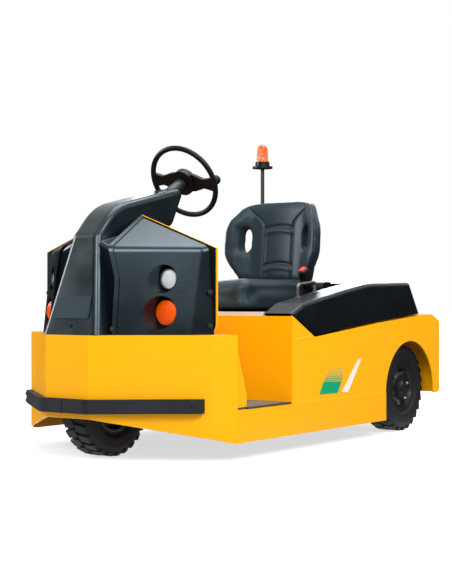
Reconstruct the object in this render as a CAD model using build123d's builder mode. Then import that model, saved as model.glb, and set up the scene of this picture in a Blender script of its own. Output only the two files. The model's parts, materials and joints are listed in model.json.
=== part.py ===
from build123d import *
from math import cos, radians, sin
import os

# Three-wheel ride-on electric tow tractor. Millimetres, +Z up, nose towards -Y,
# driver's left on +X, origin on the floor under the middle of the outline.

# Overall body
BODY_WIDTH = 1040.0
NOSE_CORNER_Y = -673.5
NOSE_REACH = 358.0
NOSE_FLAT = 208.0
CHEEK_INSET = 65.0
CHEEK_REACH = 77.0
FOOTWELL_LENGTH = 369.0
BODY_LENGTH = 1640.0
NOSE_BEND_R = 14.0
PLATE = 8.0
SKIN = 6.0
FIT = 0.3

# Heights
SKIRT_LOW = 64.0
NOSE_LOW = 160.0
SKIRT_TOP = 465.0
SILL_LOW = 66.0
SILL_TOP = 187.0
SILL_DEPTH = 24.0
SKIN_SET_BACK = 2.0
SEAT_BOX_TOP = 530.0
REAR_LOW = 161.0

# Wheels
TYRE_OD = 387.0
TYRE_WIDTH = 115.0
TREAD_WIDTH = 92.0
LUG_DEPTH = 9.0
BULGE_INSET = 14.0
RIM_OD = 204.0
RIM_WALL = 9.0
RIM_WIDTH = 96.0
DISC_THICKNESS = 10.0
DISC_INSET = 26.0
DISC_DISH = 14.0
HUB_OD = 92.0
CAP_R = 32.0
CAP_RISE = 8.0
CAP_DEPTH = 10.0
LUGS = 26
TYRE_SIDES = 36
BEAD_DEPTH = 10.0
SIDEWALL_SLOPE = 3.0
GROOVE_WIDTH = 13.0
GROOVE_SLANT = 14.0
FRONT_AXLE_SETBACK = -138.0
REAR_OVERHANG = 290.0
REAR_WHEEL_INSET = 92.5
FRONT_PIN_R = 15.0
SPINDLE_R = 20.0

# Steering
FORK_LEG_GAP = 10.0
FORK_LEG = 16.0
FORK_LEG_WIDTH = 90.0
CROWN_GAP = 10.0
CROWN_THICKNESS = 16.0
CROWN_R = 125.0
KINGPIN_R = 30.0
BOSS_R = 62.0
BOSS_GAP = 6.0

# Rear wheel arch and frame
ARCH_R = 227.0
ARCH_DROP = 13.5
RAIL_LOW = 85.0
RAIL_WIDTH = 60.0
RAIL_INSET = 200.0
RAIL_HEIGHT = 80.0
UPPER_RAIL_LOW = 260.0
KICK_WIDTH = 60.0
KICK_GAP = 5.0
AXLE_TUBE_R = 42.0
GEARBOX_R = 105.0
MOTOR_R = 85.0
MOTOR_LENGTH = 235.0

# Hood, side panels and seat recess
HOOD_GAP = 8.0
HOOD_WALL = 8.0
HOOD_FRONT_LOW = 541.0
HOOD_DIP_Y = 538.0
HOOD_DIP_LOW = 453.0
HOOD_MID_Y = 1048.0
HOOD_MID_LOW = 501.0
DECK_LENGTH = 200.0
HOOD_REAR_LOW = 530.0
HOOD_TIP_Y = 459.0
HOOD_TIP_TOP = 581.0
HOOD_RISE_Y = 810.0
HOOD_RISE_TOP = 639.0
HOOD_CREST_Y = 979.0
HOOD_CREST_TOP = 663.0
HOOD_TAIL = 97.0
HOOD_END_TOP = 670.0
SHOULDER_WIDTH = 134.0
RECESS_FLOOR = 545.0
RECESS_FRONT_Y = 398.0
HOOD_CAP = 268.0
STRIP_DEPTH = 26.0
STRIP_THICKNESS = 16.0
STRIP_GAP = 6.0
HINGE_SETBACK = 12.0
HINGE_RISE = 10.0
HINGE_PIN_R = 5.0
HINGE_BARREL_R = 10.0
HINGE_LENGTH = 60.0
HINGE_SPACING = 620.0
EAR_THICKNESS = 10.0
DECK_Z = 525.0
DECK_CHAMFER_Y = 78.0
DECK_CHAMFER_Z = 32.0
TAIL_R = 20.0
HOOD_EDGE_R = 16.0
HOOD_BEND_R = 600.0
HOOD_TIP_R = 30.0

# Battery
BATTERY_WIDTH = 660.0
BATTERY_HEIGHT = 300.0
BATTERY_FRONT_GAP = 30.0
BATTERY_REAR_GAP = 15.0

# Cowl and column
COWL_REAR_SETBACK = 10.0
COWL_WALL = 5.0
COWL_INSET = 100.0
COWL_BEND_INSET = 44.0
COWL_ROOT_X = 90.0
COWL_ROOT_Y = 333.5
COWL_SLOPE = 0.851
COWL_LEAN = 50.0
COWL_FLARE = 8.0
COWL_EDGE_R = 36.0
COWL_FRONT_TOP = 789.0
COWL_INNER_TOP = 917.0
COWL_INNER_X = 70.0
COWL_SPINE_GAP = 3.0
LIP_LOW_X = 155.0
LIP_MID_X = 148.0
LIP_MID_Z = 677.0
LIP_FOLD_X = 120.0
LIP_WIDTH = 12.0
LIP_RISE = 5.0
VALLEY_DEPTH = 55.0
VALLEY_R = 20.0
VALLEY_ROOT_X = 50.0
BRIDGE_DROP = 26.0
BULKHEAD_LIP = 6.0
BULKHEAD_MARGIN = 11.0
LAMP_INSET = 141.0
HEADLAMP_Z = 672.0
HEADLAMP_HOLE_R = 53.0
HEADLAMP_R = 39.0
HEADLAMP_SETBACK = 108.0
INDICATOR_Z = 547.0
INDICATOR_HOLE_R = 62.0
INDICATOR_R = 46.5
INDICATOR_SETBACK = 129.0
LAMP_TUBE_WALL = 4.0
LAMP_BODY = 16.0
LAMP_NARROWING = 0.762
SPINE_BASE_HALF = 137.0
SPINE_TOP_HALF = 64.0
SPINE_SHOULDER_Z = 839.0
SPINE_BOTTOM_Y = 347.0
SPINE_BROW_Y = 259.0
SPINE_BROW_R = 50.0
SPINE_CREST_Y = 156.0
SPINE_CREST_Z = 953.0
SPINE_CREST_R = 240.0
SPINE_WAIST_R = 160.0
SPINE_EDGE_R = 24.0
HEAD_Y = 289.0
HEAD_Z = 1055.0
HEAD_R = 26.0
CHIN_Y = 204.0
CHIN_Z = 893.0
NECK_Y = 160.0
COLUMN_UNDER_Z = 872.0
PLATE_WIDTH = 170.0
PLATE_HEIGHT = 84.0
PLATE_LOW = 525.0
PLATE_THICKNESS = 3.0
PLATE_CORNER_R = 6.0

# Steering wheel
WHEEL_Y = 350.0
WHEEL_Z = 1081.0
WHEEL_AXIS = (0.0, 0.87, 0.5)
WHEEL_TURN = 8.0
WHEEL_R = 151.0
RIM_TUBE_R = 11.0
WHEEL_HUB_R = 54.0
WHEEL_HUB_HEIGHT = 34.0
HUB_DOME = 6.0
SPOKE_ROOT = 74.0
SPOKE_WAIST = 40.0
SPOKE_WAIST_X = 100.0
SPOKE_END = 62.0
SPOKE_THICKNESS = 14.0
COLUMN_R = 25.0
SHAFT_R = 11.0
SHAFT_LENGTH = 45.0
COLUMN_LENGTH = 125.0
HUB_GAP = 5.0
KNOB_R = 20.0
KNOB_HEIGHT = 32.0
KNOB_STALK_R = 8.0

# Seat
CUSHION_WIDTH = 520.0
CUSHION_FRONT = 416.0
CUSHION_REAR_GAP = 105.0
CUSHION_TOP = 675.0
SEAT_TRAY = 8.0
SEAT_TRAY_WIDTH = 220.0
CUSHION_CORNER_R = 70.0
CUSHION_EDGE_R = 30.0
BACK_WIDTH = 524.0
BACK_SETBACK = 90.0
BACK_THICKNESS = 66.0
BACK_SCOOP = 60.0
SCOOP_R = 471.0
BACK_LOW = 674.0
BACK_HEIGHT = 363.0
BACK_LEAN = 35.0
BACK_FOOT_WIDTH = 320.0
BACK_WAIST = 130.0
BACK_BEND = 250.0
BACK_CROWN_WIDTH = 330.0
BACK_ROUND_R = 100.0
HAND_HOLE_WIDTH = 48.0
HAND_HOLE_HEIGHT = 110.0
HAND_HOLE_INSET = 90.0
HAND_HOLE_RISE = 200.0

# Smaller pieces
BUMPER_LOW = 180.0
BUMPER_HEIGHT = 52.0
BUMPER_DEPTH = 25.0
BUMPER_END_INSET = 83.0
BUMPER_SPLIT = 3.0
POLE_INSET = 104.0
POLE_SETBACK = 104.0
POLE_R = 9.5
POLE_TOP = 1255.0
POLE_FOOT_R = 30.0
POLE_FOOT = 8.0
FLANGE_R = 51.0
FLANGE_THICKNESS = 10.0
BEACON_BASE_R = 36.0
BEACON_BASE_HEIGHT = 22.0
DOME_R = 32.0
DOME_TOP_R = 26.0
DOME_HEIGHT = 90.0
HITCH_REACH = 90.0
HITCH_PLATE = 12.0
HITCH_WIDTH = 90.0
HITCH_PLATE_WIDTH = 150.0
HITCH_PLATE_HEIGHT = 190.0
HITCH_Z = 305.0
HITCH_JAW = 60.0
HITCH_EAR = 20.0
HITCH_ROUND = 34.0
HITCH_BORE_R = 16.0
HITCH_BORE_SETBACK = 35.0
REAR_LAMP_INSET = 100.0
REAR_LAMP_Z = 420.0
REAR_LAMP_R = 42.0
REAR_LAMP_DEPTH = 22.0
BUCKLE_GAP = 12.0
BUCKLE_WIDTH = 24.0
BUCKLE_LENGTH = 46.0
BUCKLE_HEIGHT = 60.0
BUCKLE_R = 6.0
BUCKLE_SETBACK = 245.0
BUCKLE_TOP = 715.0
STALK_WIDTH = 30.0
STALK_THICKNESS = 8.0
REEL_GAP = 10.0
REEL_WIDTH = 60.0
REEL_LENGTH = 80.0
REEL_R = 26.0
REEL_SETBACK = 135.0
REEL_HEIGHT = 125.0
ROD_INSET = 110.0
ROD_FRONT_Y = 580.0
ROD_LENGTH = 130.0
ROD_RISE = 55.0
ROD_R = 6.0
TOE_Y = 77.0
TOE_KINK = 46.0
TOE_INSET = 20.0
PEDAL_STEM = 40.0
PEDAL_STEM_R = 9.0
PEDAL_WIDTH = 80.0
PEDAL_HEIGHT = 110.0
PEDAL_PAD = 10.0
BRAKE_X = -60.0
PEDAL_SPACING = 140.0

# Places worked out from those sizes
BODY_HALF = BODY_WIDTH / 2
NOSE_Y = NOSE_CORNER_Y - NOSE_REACH
REAR_Y = NOSE_CORNER_Y + BODY_LENGTH
SEAT_BOX_Y = NOSE_CORNER_Y + FOOTWELL_LENGTH
TYRE_R = TYRE_OD / 2
RIM_R = RIM_OD / 2
FRONT_AXLE_Y = NOSE_CORNER_Y + FRONT_AXLE_SETBACK
REAR_AXLE_Y = REAR_Y - REAR_OVERHANG
REAR_WHEEL_X = BODY_HALF - REAR_WHEEL_INSET
RAIL_CENTRE = BODY_HALF - RAIL_INSET
FLOOR_Z = SILL_TOP + PLATE
ARCH_FRONT_Y = REAR_AXLE_Y - ARCH_R
ARCH_Z = TYRE_R - ARCH_DROP
DECK_LOW = SKIRT_TOP - PLATE
SIDE_INNER = BODY_HALF - SKIN_SET_BACK - SKIN
CROWN_LOW = TYRE_OD + CROWN_GAP
CROWN_TOP = CROWN_LOW + CROWN_THICKNESS
BULKHEAD_Y = NOSE_CORNER_Y - COWL_REAR_SETBACK
COWL_HALF = BODY_HALF - COWL_INSET
COWL_BEND_X = COWL_HALF - COWL_BEND_INSET
LAMP_X = COWL_HALF - LAMP_INSET
HOOD_REAR_Y = BODY_LENGTH - DECK_LENGTH
HOOD_END_Y = HOOD_REAR_Y - HOOD_TAIL
RECESS_HALF = BODY_HALF - SHOULDER_WIDTH
RECESS_END_Y = HOOD_END_Y - HOOD_CAP
CUSHION_REAR_Y = RECESS_END_Y - CUSHION_REAR_GAP
BACK_FRONT_Y = RECESS_END_Y - BACK_SETBACK
HOOD_HINGE_Y = NOSE_CORNER_Y + HOOD_REAR_Y + HINGE_SETBACK
HOOD_HINGE_Z = HOOD_REAR_LOW + HINGE_RISE
WHEEL_CENTRE = (0, NOSE_CORNER_Y + WHEEL_Y, WHEEL_Z)
WHEEL_SPOKE = Vector(1, 0, 0).rotate(Axis((0, 0, 0), WHEEL_AXIS), WHEEL_TURN)
WHEEL_PLANE = Plane(WHEEL_CENTRE, x_dir=WHEEL_SPOKE, z_dir=WHEEL_AXIS)


def along(y):
    """A lengthwise place measured back from the nose's rear corners."""
    return NOSE_CORNER_Y + y


def nose_outline(rear):
    """Plan outline of the folded nose, closed along a straight rear line."""
    cheek = (BODY_HALF - CHEEK_INSET, NOSE_CORNER_Y - CHEEK_REACH)
    left = [
        (NOSE_FLAT / 2, NOSE_Y),
        cheek,
        (BODY_HALF, NOSE_CORNER_Y),
        (BODY_HALF, rear),
    ]
    right = [(-x, y) for x, y in reversed(left)]
    return left + right


def wheel_plane(x, y):
    """A sketch plane whose own X runs along a wheel's axle."""
    return Plane((x, y, TYRE_R), x_dir=(1, 0, 0), z_dir=(0, -1, 0))


def nose_face(rear):
    """The nose's plan as a face with its folds bent round."""
    with BuildSketch() as face:
        with BuildLine():
            Polyline(*nose_outline(rear), close=True)
        make_face()
        folds = [corner for corner in face.vertices() if corner.Y < rear - FIT]
        fillet(folds, NOSE_BEND_R)
    return face.sketch


def make_rim(x, y, bore, capped):
    """A dished rim; a capped hub closes over the end of its axle."""
    edge = RIM_WIDTH / 2
    hub = HUB_OD / 2
    dish = edge - DISC_INSET
    outer_side = [
        (edge, RIM_R),
        (edge, RIM_R - RIM_WALL),
        (dish, RIM_R - 2 * RIM_WALL),
        (dish + DISC_DISH, hub + RIM_WALL),
        (dish + DISC_DISH, hub),
        (edge, hub),
        (edge, CAP_R),
    ]
    inner_side = [
        (-edge, bore + FIT),
        (-edge, hub),
        (dish + DISC_DISH - DISC_THICKNESS, hub),
        (dish - DISC_THICKNESS, RIM_R - 2 * RIM_WALL),
        (-edge, RIM_R - RIM_WALL),
        (-edge, RIM_R),
    ]
    if capped:
        middle = [
            (edge + CAP_RISE, CAP_R / 2),
            (edge + CAP_RISE, 0),
            (edge - CAP_DEPTH, 0),
            (edge - CAP_DEPTH, bore + FIT),
        ]
    else:
        middle = [(edge, bore + FIT)]
    with BuildPart() as rim:
        with BuildSketch(wheel_plane(x, y)):
            with BuildLine():
                Polyline(*outer_side, *middle, *inner_side, close=True)
            make_face()
        revolve(axis=Axis((x, y, TYRE_R), (1, 0, 0)))
    return rim.part


def tyre_ring(x, y, across, out):
    """Corners of one many-sided ring round a wheel's axle."""
    turns = [radians(side * 360 / TYRE_SIDES) for side in range(TYRE_SIDES)]
    return [Vector(x + across, y + out * sin(turn), TYRE_R + out * cos(turn)) for turn in turns]


def make_tyre(x, y):
    """A solid tyre in flat facets, with a row of block lugs cut along each shoulder."""
    bore = (RIM_R + FIT) / cos(radians(180 / TYRE_SIDES))
    bead = RIM_R + BEAD_DEPTH
    side = [
        (RIM_WIDTH / 2, bore),
        (RIM_WIDTH / 2, bead),
        (TYRE_WIDTH / 2, bead + BULGE_INSET),
        (TYRE_WIDTH / 2 - SIDEWALL_SLOPE, TYRE_R - LUG_DEPTH - BULGE_INSET),
        (TREAD_WIDTH / 2, TYRE_R),
    ]
    far_side = [(-across, out) for across, out in reversed(side)]
    rings = [tyre_ring(x, y, across, out) for across, out in side + far_side]
    facets = []
    for ring, following in zip(rings, rings[1:] + rings[:1]):
        for corner in range(TYRE_SIDES):
            before = corner - 1
            corners = [ring[before], ring[corner], following[corner], following[before]]
            facets.append(Face(Wire.make_polygon(corners)))
    groove = TYRE_WIDTH / 2
    with BuildPart() as tyre:
        add(Solid(Shell(facets)))
        cuts = []
        for lug in range(LUGS):
            for hand, step in ((1, 0.5), (-1, 0.0)):
                turn = Location((x, y, TYRE_R), ((lug + step) * 360 / LUGS, 0, 0))
                cuts.append(turn * Location((hand * groove / 2, 0, TYRE_R), (0, 0, hand * GROOVE_SLANT)))
        with Locations(*cuts):
            Box(groove + 2 * LUG_DEPTH, GROOVE_WIDTH, 2 * LUG_DEPTH, mode=Mode.SUBTRACT)
    return tyre.part


# Folded nose plate, its lower edge rising towards the front
with BuildPart() as front_skirt:
    with BuildSketch():
        add(nose_face(NOSE_CORNER_Y + 2 * PLATE))
        offset(amount=-PLATE, kind=Kind.INTERSECTION, mode=Mode.SUBTRACT)
        with Locations((0, NOSE_CORNER_Y + BODY_HALF)):
            Rectangle(2 * BODY_WIDTH, BODY_WIDTH, mode=Mode.SUBTRACT)
    extrude(amount=SKIRT_TOP)
    with BuildSketch(Plane.YZ):
        with BuildLine():
            Polyline(
                (NOSE_Y, 0),
                (NOSE_CORNER_Y, 0),
                (NOSE_CORNER_Y, SKIRT_LOW),
                (NOSE_Y, NOSE_LOW),
                close=True,
            )
        make_face()
    extrude(amount=BODY_WIDTH, both=True, mode=Mode.SUBTRACT)

# Nose deck, and under it the boss that the steering pin turns in
with BuildPart() as front_deck:
    with BuildSketch(Plane.XY.offset(DECK_LOW)):
        add(nose_face(NOSE_CORNER_Y + PLATE))
        offset(amount=-PLATE, kind=Kind.INTERSECTION, mode=Mode.REPLACE)
        with Locations((0, FRONT_AXLE_Y)):
            Circle(KINGPIN_R + FIT, mode=Mode.SUBTRACT)
    extrude(amount=PLATE)

with BuildPart() as kingpin_boss:
    with BuildSketch(Plane.XY.offset(CROWN_TOP + BOSS_GAP)):
        with Locations((0, FRONT_AXLE_Y)):
            Circle(BOSS_R)
            Circle(KINGPIN_R + FIT, mode=Mode.SUBTRACT)
    extrude(amount=DECK_LOW - CROWN_TOP - BOSS_GAP)

# Sloping toe board with its two side gussets
with BuildPart() as toe_board:
    with BuildSketch(Plane.YZ):
        with BuildLine():
            Polyline(
                (along(TOE_Y), FLOOR_Z),
                (along(TOE_Y + PLATE), FLOOR_Z),
                (along(TOE_Y + PLATE), FLOOR_Z + TOE_KINK),
                (along(PLATE), SKIRT_TOP),
                (along(0), SKIRT_TOP),
                (along(0), DECK_LOW - 2 * PLATE),
                (along(TOE_Y), FLOOR_Z + TOE_KINK),
                close=True,
            )
        make_face()
    extrude(amount=BODY_HALF - TOE_INSET, both=True)
    with BuildSketch(Plane.YZ.offset(BODY_HALF - TOE_INSET - PLATE)):
        with BuildLine():
            Polyline(
                (along(0), FLOOR_Z),
                (along(TOE_Y), FLOOR_Z),
                (along(TOE_Y), FLOOR_Z + TOE_KINK),
                (along(0), DECK_LOW - 2 * PLATE),
                close=True,
            )
        make_face()
    gusset = extrude(amount=PLATE)
    mirror(gusset, about=Plane.YZ)

# Checkered floor from the toe board back under the battery
with BuildPart() as floor_plate:
    with BuildSketch(Plane.XY.offset(SILL_TOP)):
        with BuildLine():
            Polyline(
                (BODY_HALF - TOE_INSET, along(0)),
                (BODY_HALF - TOE_INSET, along(TOE_Y)),
                (BODY_HALF - SKIN, along(TOE_Y)),
                (BODY_HALF - SKIN, SEAT_BOX_Y),
                (SIDE_INNER, SEAT_BOX_Y),
                (SIDE_INNER, ARCH_FRONT_Y - KICK_WIDTH),
                (0, ARCH_FRONT_Y - KICK_WIDTH),
                (0, along(TOE_Y)),
                (BODY_HALF - TOE_INSET - 2 * PLATE, along(TOE_Y)),
                (BODY_HALF - TOE_INSET - 2 * PLATE, along(0)),
                close=True,
            )
        make_face()
        mirror(about=Plane.YZ)
    extrude(amount=PLATE)

# Box sills under the steps
with BuildPart() as sill_left:
    with BuildSketch(Plane.XY.offset(SILL_LOW)):
        with Locations((BODY_HALF, (NOSE_CORNER_Y + ARCH_FRONT_Y) / 2)):
            Rectangle(SILL_DEPTH, ARCH_FRONT_Y - NOSE_CORNER_Y, align=(Align.MAX, Align.CENTER))
    extrude(amount=SILL_TOP - SILL_LOW)

# Body side with the rear wheel arch, its top edge under the hood
with BuildPart() as side_panel_left:
    with BuildSketch(Plane.YZ.offset(SIDE_INNER)) as side_outline:
        with BuildLine():
            Polyline(
                (SEAT_BOX_Y, SILL_TOP),
                (REAR_AXLE_Y, SILL_TOP),
                (REAR_AXLE_Y, REAR_LOW),
                (REAR_Y, REAR_LOW),
                (REAR_Y, DECK_Z - DECK_CHAMFER_Z),
                (REAR_Y - DECK_CHAMFER_Y, DECK_Z),
                (along(HOOD_REAR_Y), HOOD_REAR_LOW - HOOD_GAP),
                (along(HOOD_MID_Y), HOOD_MID_LOW - HOOD_GAP),
                (along(HOOD_DIP_Y), HOOD_DIP_LOW - HOOD_GAP),
                (SEAT_BOX_Y, HOOD_FRONT_LOW - HOOD_GAP),
                close=True,
            )
        make_face()
        fillet(side_outline.vertices().sort_by(Axis.X)[-2:].sort_by(Axis.Y)[0], TAIL_R)
        with Locations((REAR_AXLE_Y, ARCH_Z)):
            Circle(ARCH_R, mode=Mode.SUBTRACT)
    extrude(amount=SKIN)

# Panel behind the driver's heels, and the bright strip along its top
with BuildPart() as seat_box_front:
    with BuildSketch(Plane.XY.offset(FLOOR_Z)):
        with Locations((0, SEAT_BOX_Y)):
            Rectangle(2 * SIDE_INNER, PLATE, align=(Align.CENTER, Align.MIN))
    extrude(amount=SEAT_BOX_TOP - FLOOR_Z)

with BuildPart() as seat_box_strip:
    with BuildSketch(Plane.XY.offset(SEAT_BOX_TOP)):
        with Locations((0, SEAT_BOX_Y)):
            strip_length = 2 * (RECESS_HALF - STRIP_GAP)
            Rectangle(strip_length, STRIP_DEPTH - STRIP_GAP, align=(Align.CENTER, Align.MIN))
    extrude(amount=STRIP_THICKNESS)

# Folded rear panel and deck, with the fixed ears of the hood's hinges
with BuildPart() as rear_shell:
    with BuildSketch(Plane.YZ):
        with BuildLine():
            Polyline(
                (REAR_Y, REAR_LOW),
                (REAR_Y, DECK_Z - DECK_CHAMFER_Z),
                (REAR_Y - DECK_CHAMFER_Y, DECK_Z),
                (HOOD_HINGE_Y, DECK_Z),
                (HOOD_HINGE_Y, DECK_Z - PLATE),
                (REAR_Y - DECK_CHAMFER_Y - PLATE / 4, DECK_Z - PLATE),
                (REAR_Y - PLATE, DECK_Z - DECK_CHAMFER_Z - PLATE / 2),
                (REAR_Y - PLATE, REAR_LOW),
                close=True,
            )
        make_face()
    extrude(amount=SIDE_INNER, both=True)

# Frame rails, kicked up over the rear axle
with BuildPart() as frame_rail_left:
    with BuildSketch(Plane.YZ.offset(RAIL_CENTRE - RAIL_WIDTH / 2)):
        with BuildLine():
            Polyline(
                (along(TOE_Y), RAIL_LOW),
                (ARCH_FRONT_Y + KICK_GAP, RAIL_LOW),
                (ARCH_FRONT_Y + KICK_GAP, UPPER_RAIL_LOW),
                (REAR_Y - PLATE, UPPER_RAIL_LOW),
                (REAR_Y - PLATE, UPPER_RAIL_LOW + RAIL_HEIGHT),
                (ARCH_FRONT_Y + KICK_GAP - KICK_WIDTH, UPPER_RAIL_LOW + RAIL_HEIGHT),
                (ARCH_FRONT_Y + KICK_GAP - KICK_WIDTH, SILL_TOP),
                (along(TOE_Y), SILL_TOP),
                close=True,
            )
        make_face()
    extrude(amount=RAIL_WIDTH)

# Battery, one plain block
with BuildPart() as battery:
    with BuildSketch(Plane.XY.offset(FLOOR_Z)):
        with Locations((0, SEAT_BOX_Y + PLATE + BATTERY_FRONT_GAP)):
            Rectangle(
                BATTERY_WIDTH,
                ARCH_FRONT_Y - KICK_WIDTH - BATTERY_REAR_GAP - SEAT_BOX_Y - PLATE - BATTERY_FRONT_GAP,
                align=(Align.CENTER, Align.MIN),
            )
    extrude(amount=BATTERY_HEIGHT)

# Rear axle: tube, gearbox, drive motor, mounting pads and wheel spindles
SPINDLE_END = REAR_WHEEL_X + RIM_WIDTH / 2 - CAP_DEPTH - FIT
with BuildPart() as rear_axle:
    with BuildSketch(Plane.YZ):
        with Locations((REAR_AXLE_Y, TYRE_R)):
            Circle(AXLE_TUBE_R)
    extrude(amount=RAIL_CENTRE + RAIL_WIDTH / 2, both=True)
    with BuildSketch(Plane.YZ):
        with Locations((REAR_AXLE_Y, TYRE_R)):
            Circle(SPINDLE_R)
    extrude(amount=SPINDLE_END, both=True)
    with Locations((0, REAR_AXLE_Y, TYRE_R)):
        Sphere(GEARBOX_R)
    with BuildSketch(Plane.XZ.offset(-REAR_AXLE_Y)):
        with Locations((0, TYRE_R)):
            Circle(MOTOR_R)
    extrude(amount=MOTOR_LENGTH)
    with BuildSketch(Plane.XY.offset(TYRE_R)):
        with Locations((RAIL_CENTRE, REAR_AXLE_Y), (-RAIL_CENTRE, REAR_AXLE_Y)):
            Rectangle(RAIL_WIDTH, 2 * AXLE_TUBE_R)
    extrude(amount=UPPER_RAIL_LOW - TYRE_R)

# Tow coupling: back plate and two ears with a free pin bore
with BuildPart() as tow_hitch:
    with BuildSketch(Plane.XY.offset(HITCH_Z - HITCH_PLATE_HEIGHT / 2)):
        with Locations((0, REAR_Y)):
            Rectangle(HITCH_PLATE_WIDTH, HITCH_PLATE, align=(Align.CENTER, Align.MIN))
    extrude(amount=HITCH_PLATE_HEIGHT)
    for ear_low in (HITCH_Z - HITCH_JAW / 2 - HITCH_EAR, HITCH_Z + HITCH_JAW / 2):
        with BuildSketch(Plane.XY.offset(ear_low)) as ear:
            with Locations((0, REAR_Y)):
                Rectangle(HITCH_WIDTH, HITCH_REACH, align=(Align.CENTER, Align.MIN))
            fillet(ear.vertices().sort_by(Axis.Y)[-2:], HITCH_ROUND)
            with Locations((0, REAR_Y + HITCH_REACH - HITCH_BORE_SETBACK)):
                Circle(HITCH_BORE_R, mode=Mode.SUBTRACT)
        extrude(amount=HITCH_EAR)

# Rubber bumper halves that wrap the nose
with BuildPart() as bumper_left:
    with BuildSketch(Plane.XY.offset(BUMPER_LOW)):
        add(nose_face(NOSE_CORNER_Y + 2 * PLATE))
        offset(amount=BUMPER_DEPTH, kind=Kind.INTERSECTION, mode=Mode.REPLACE)
        add(nose_face(NOSE_CORNER_Y + 2 * PLATE), mode=Mode.SUBTRACT)
        with Locations((BUMPER_SPLIT / 2, NOSE_Y)):
            Rectangle(
                BODY_HALF - BUMPER_END_INSET - BUMPER_SPLIT / 2,
                2 * NOSE_REACH,
                align=(Align.MIN, Align.CENTER),
                mode=Mode.INTERSECT,
            )
    extrude(amount=BUMPER_HEIGHT)


def facet_y(x, z):
    """Lengthwise place of the wing's flat front, which leans back as it rises."""
    lean = COWL_LEAN * (z - SKIRT_TOP) / (COWL_FRONT_TOP - SKIRT_TOP)
    return along(COWL_SLOPE * (x - COWL_ROOT_X) - COWL_ROOT_Y + lean)


def facet_point(x, z):
    return Vector(x, facet_y(x, z), z)


def plane_through(a, b, c):
    """The plane through three points, facing whoever sees them run anticlockwise."""
    return Plane(a, x_dir=b - a, z_dir=(b - a).cross(c - a))


def wing_faces():
    """The planes of the left wing's front, cheek and top."""
    root = facet_point(COWL_ROOT_X, SKIRT_TOP)
    bend = facet_point(COWL_BEND_X, SKIRT_TOP)
    upper_root = facet_point(COWL_ROOT_X, COWL_FRONT_TOP)
    upper_bend = facet_point(COWL_BEND_X + COWL_FLARE, COWL_FRONT_TOP)
    rear = Vector(COWL_HALF, BULKHEAD_Y, SKIRT_TOP)
    peak = Vector(COWL_INNER_X, BULKHEAD_Y, COWL_INNER_TOP)
    return (
        plane_through(root, bend, upper_root),
        plane_through(bend, rear, upper_bend),
        plane_through(upper_root, upper_bend, peak),
    )


def wing_block(inset, edge_r):
    """The left wing as a block, smaller all round by inset, its folds rounded."""
    faces = [face.offset(-inset) for face in wing_faces()]
    with BuildPart() as block:
        with BuildSketch(Plane.XY.offset(SKIRT_TOP)):
            with Locations((VALLEY_ROOT_X, BULKHEAD_Y)):
                Rectangle(BODY_HALF, NOSE_REACH, align=(Align.MIN, Align.MAX))
        extrude(amount=COWL_INNER_TOP)
        for face in faces:
            split(bisect_by=face, keep=Keep.BOTTOM)

        def folded(edge):
            middle = edge @ 0.5
            return sum(abs((middle - face.origin).dot(face.z_dir)) < FIT for face in faces) == 2

        fillet(block.edges().filter_by(folded), edge_r)
    return block.part


def lip_line(grow):
    """Front view of the room kept for the spine, out to the wings' inner edges."""
    return [
        (0, SKIRT_TOP),
        (LIP_LOW_X + grow, SKIRT_TOP),
        (LIP_MID_X + grow, LIP_MID_Z),
        (LIP_FOLD_X + grow, COWL_FRONT_TOP),
        (COWL_INNER_X + grow, COWL_INNER_TOP),
        (COWL_INNER_X + grow, WHEEL_Z),
        (0, WHEEL_Z),
    ]


def spine_room(grow):
    """That room as a solid, through the whole cowl."""
    with BuildPart() as room:
        with BuildSketch(Plane.XZ.offset(-BULKHEAD_Y)):
            with BuildLine():
                Polyline(*lip_line(grow), close=True)
            make_face()
        extrude(amount=2 * NOSE_REACH)
    return room.part


LAMPS = (
    (HEADLAMP_Z, HEADLAMP_HOLE_R, HEADLAMP_R, HEADLAMP_SETBACK),
    (INDICATOR_Z, INDICATOR_HOLE_R, INDICATOR_R, INDICATOR_SETBACK),
)

# Room inside the wing, around its lamp tubes
with BuildPart() as cowl_room:
    add(wing_block(COWL_WALL, COWL_EDGE_R - COWL_WALL))
    add(spine_room(COWL_WALL), mode=Mode.SUBTRACT)
    for lamp_z, hole_r, lens_r, setback in LAMPS:
        with BuildSketch(Plane.XZ.offset(-along(LAMP_BODY + LAMP_TUBE_WALL - setback))):
            with Locations((LAMP_X, lamp_z)):
                Ellipse(hole_r * LAMP_NARROWING + LAMP_TUBE_WALL, hole_r + LAMP_TUBE_WALL)
        extrude(amount=NOSE_REACH, mode=Mode.SUBTRACT)

# Raised lip along the wing's inner edge
with BuildPart() as cowl_lip:
    add(wing_block(-LIP_RISE, COWL_EDGE_R + LIP_RISE))
    add(spine_room(LIP_WIDTH), mode=Mode.INTERSECT)

# Moulded cowl wing with its two lamp tubes, cut back beside the spine
with BuildPart() as cowl_left:
    add(wing_block(0, COWL_EDGE_R))
    add(cowl_lip.part)
    add(spine_room(0), mode=Mode.SUBTRACT)
    add(cowl_room.part, mode=Mode.SUBTRACT)
    for lamp_z, hole_r, lens_r, setback in LAMPS:
        with BuildSketch(Plane.XZ.offset(-along(LAMP_BODY - setback))):
            with Locations((LAMP_X, lamp_z)):
                Ellipse(hole_r * LAMP_NARROWING, hole_r)
        extrude(amount=NOSE_REACH, mode=Mode.SUBTRACT)


def make_lamps(lamp_z, lens_r, setback):
    """Both lamps of a kind, each a lens seated on the floor of its tube."""
    with BuildPart() as lamps:
        with BuildSketch(Plane.XZ.offset(-along(LAMP_BODY - setback))):
            with Locations((LAMP_X, lamp_z), (-LAMP_X, lamp_z)):
                Circle(lens_r)
        extrude(amount=LAMP_BODY)
    return lamps.part


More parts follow.
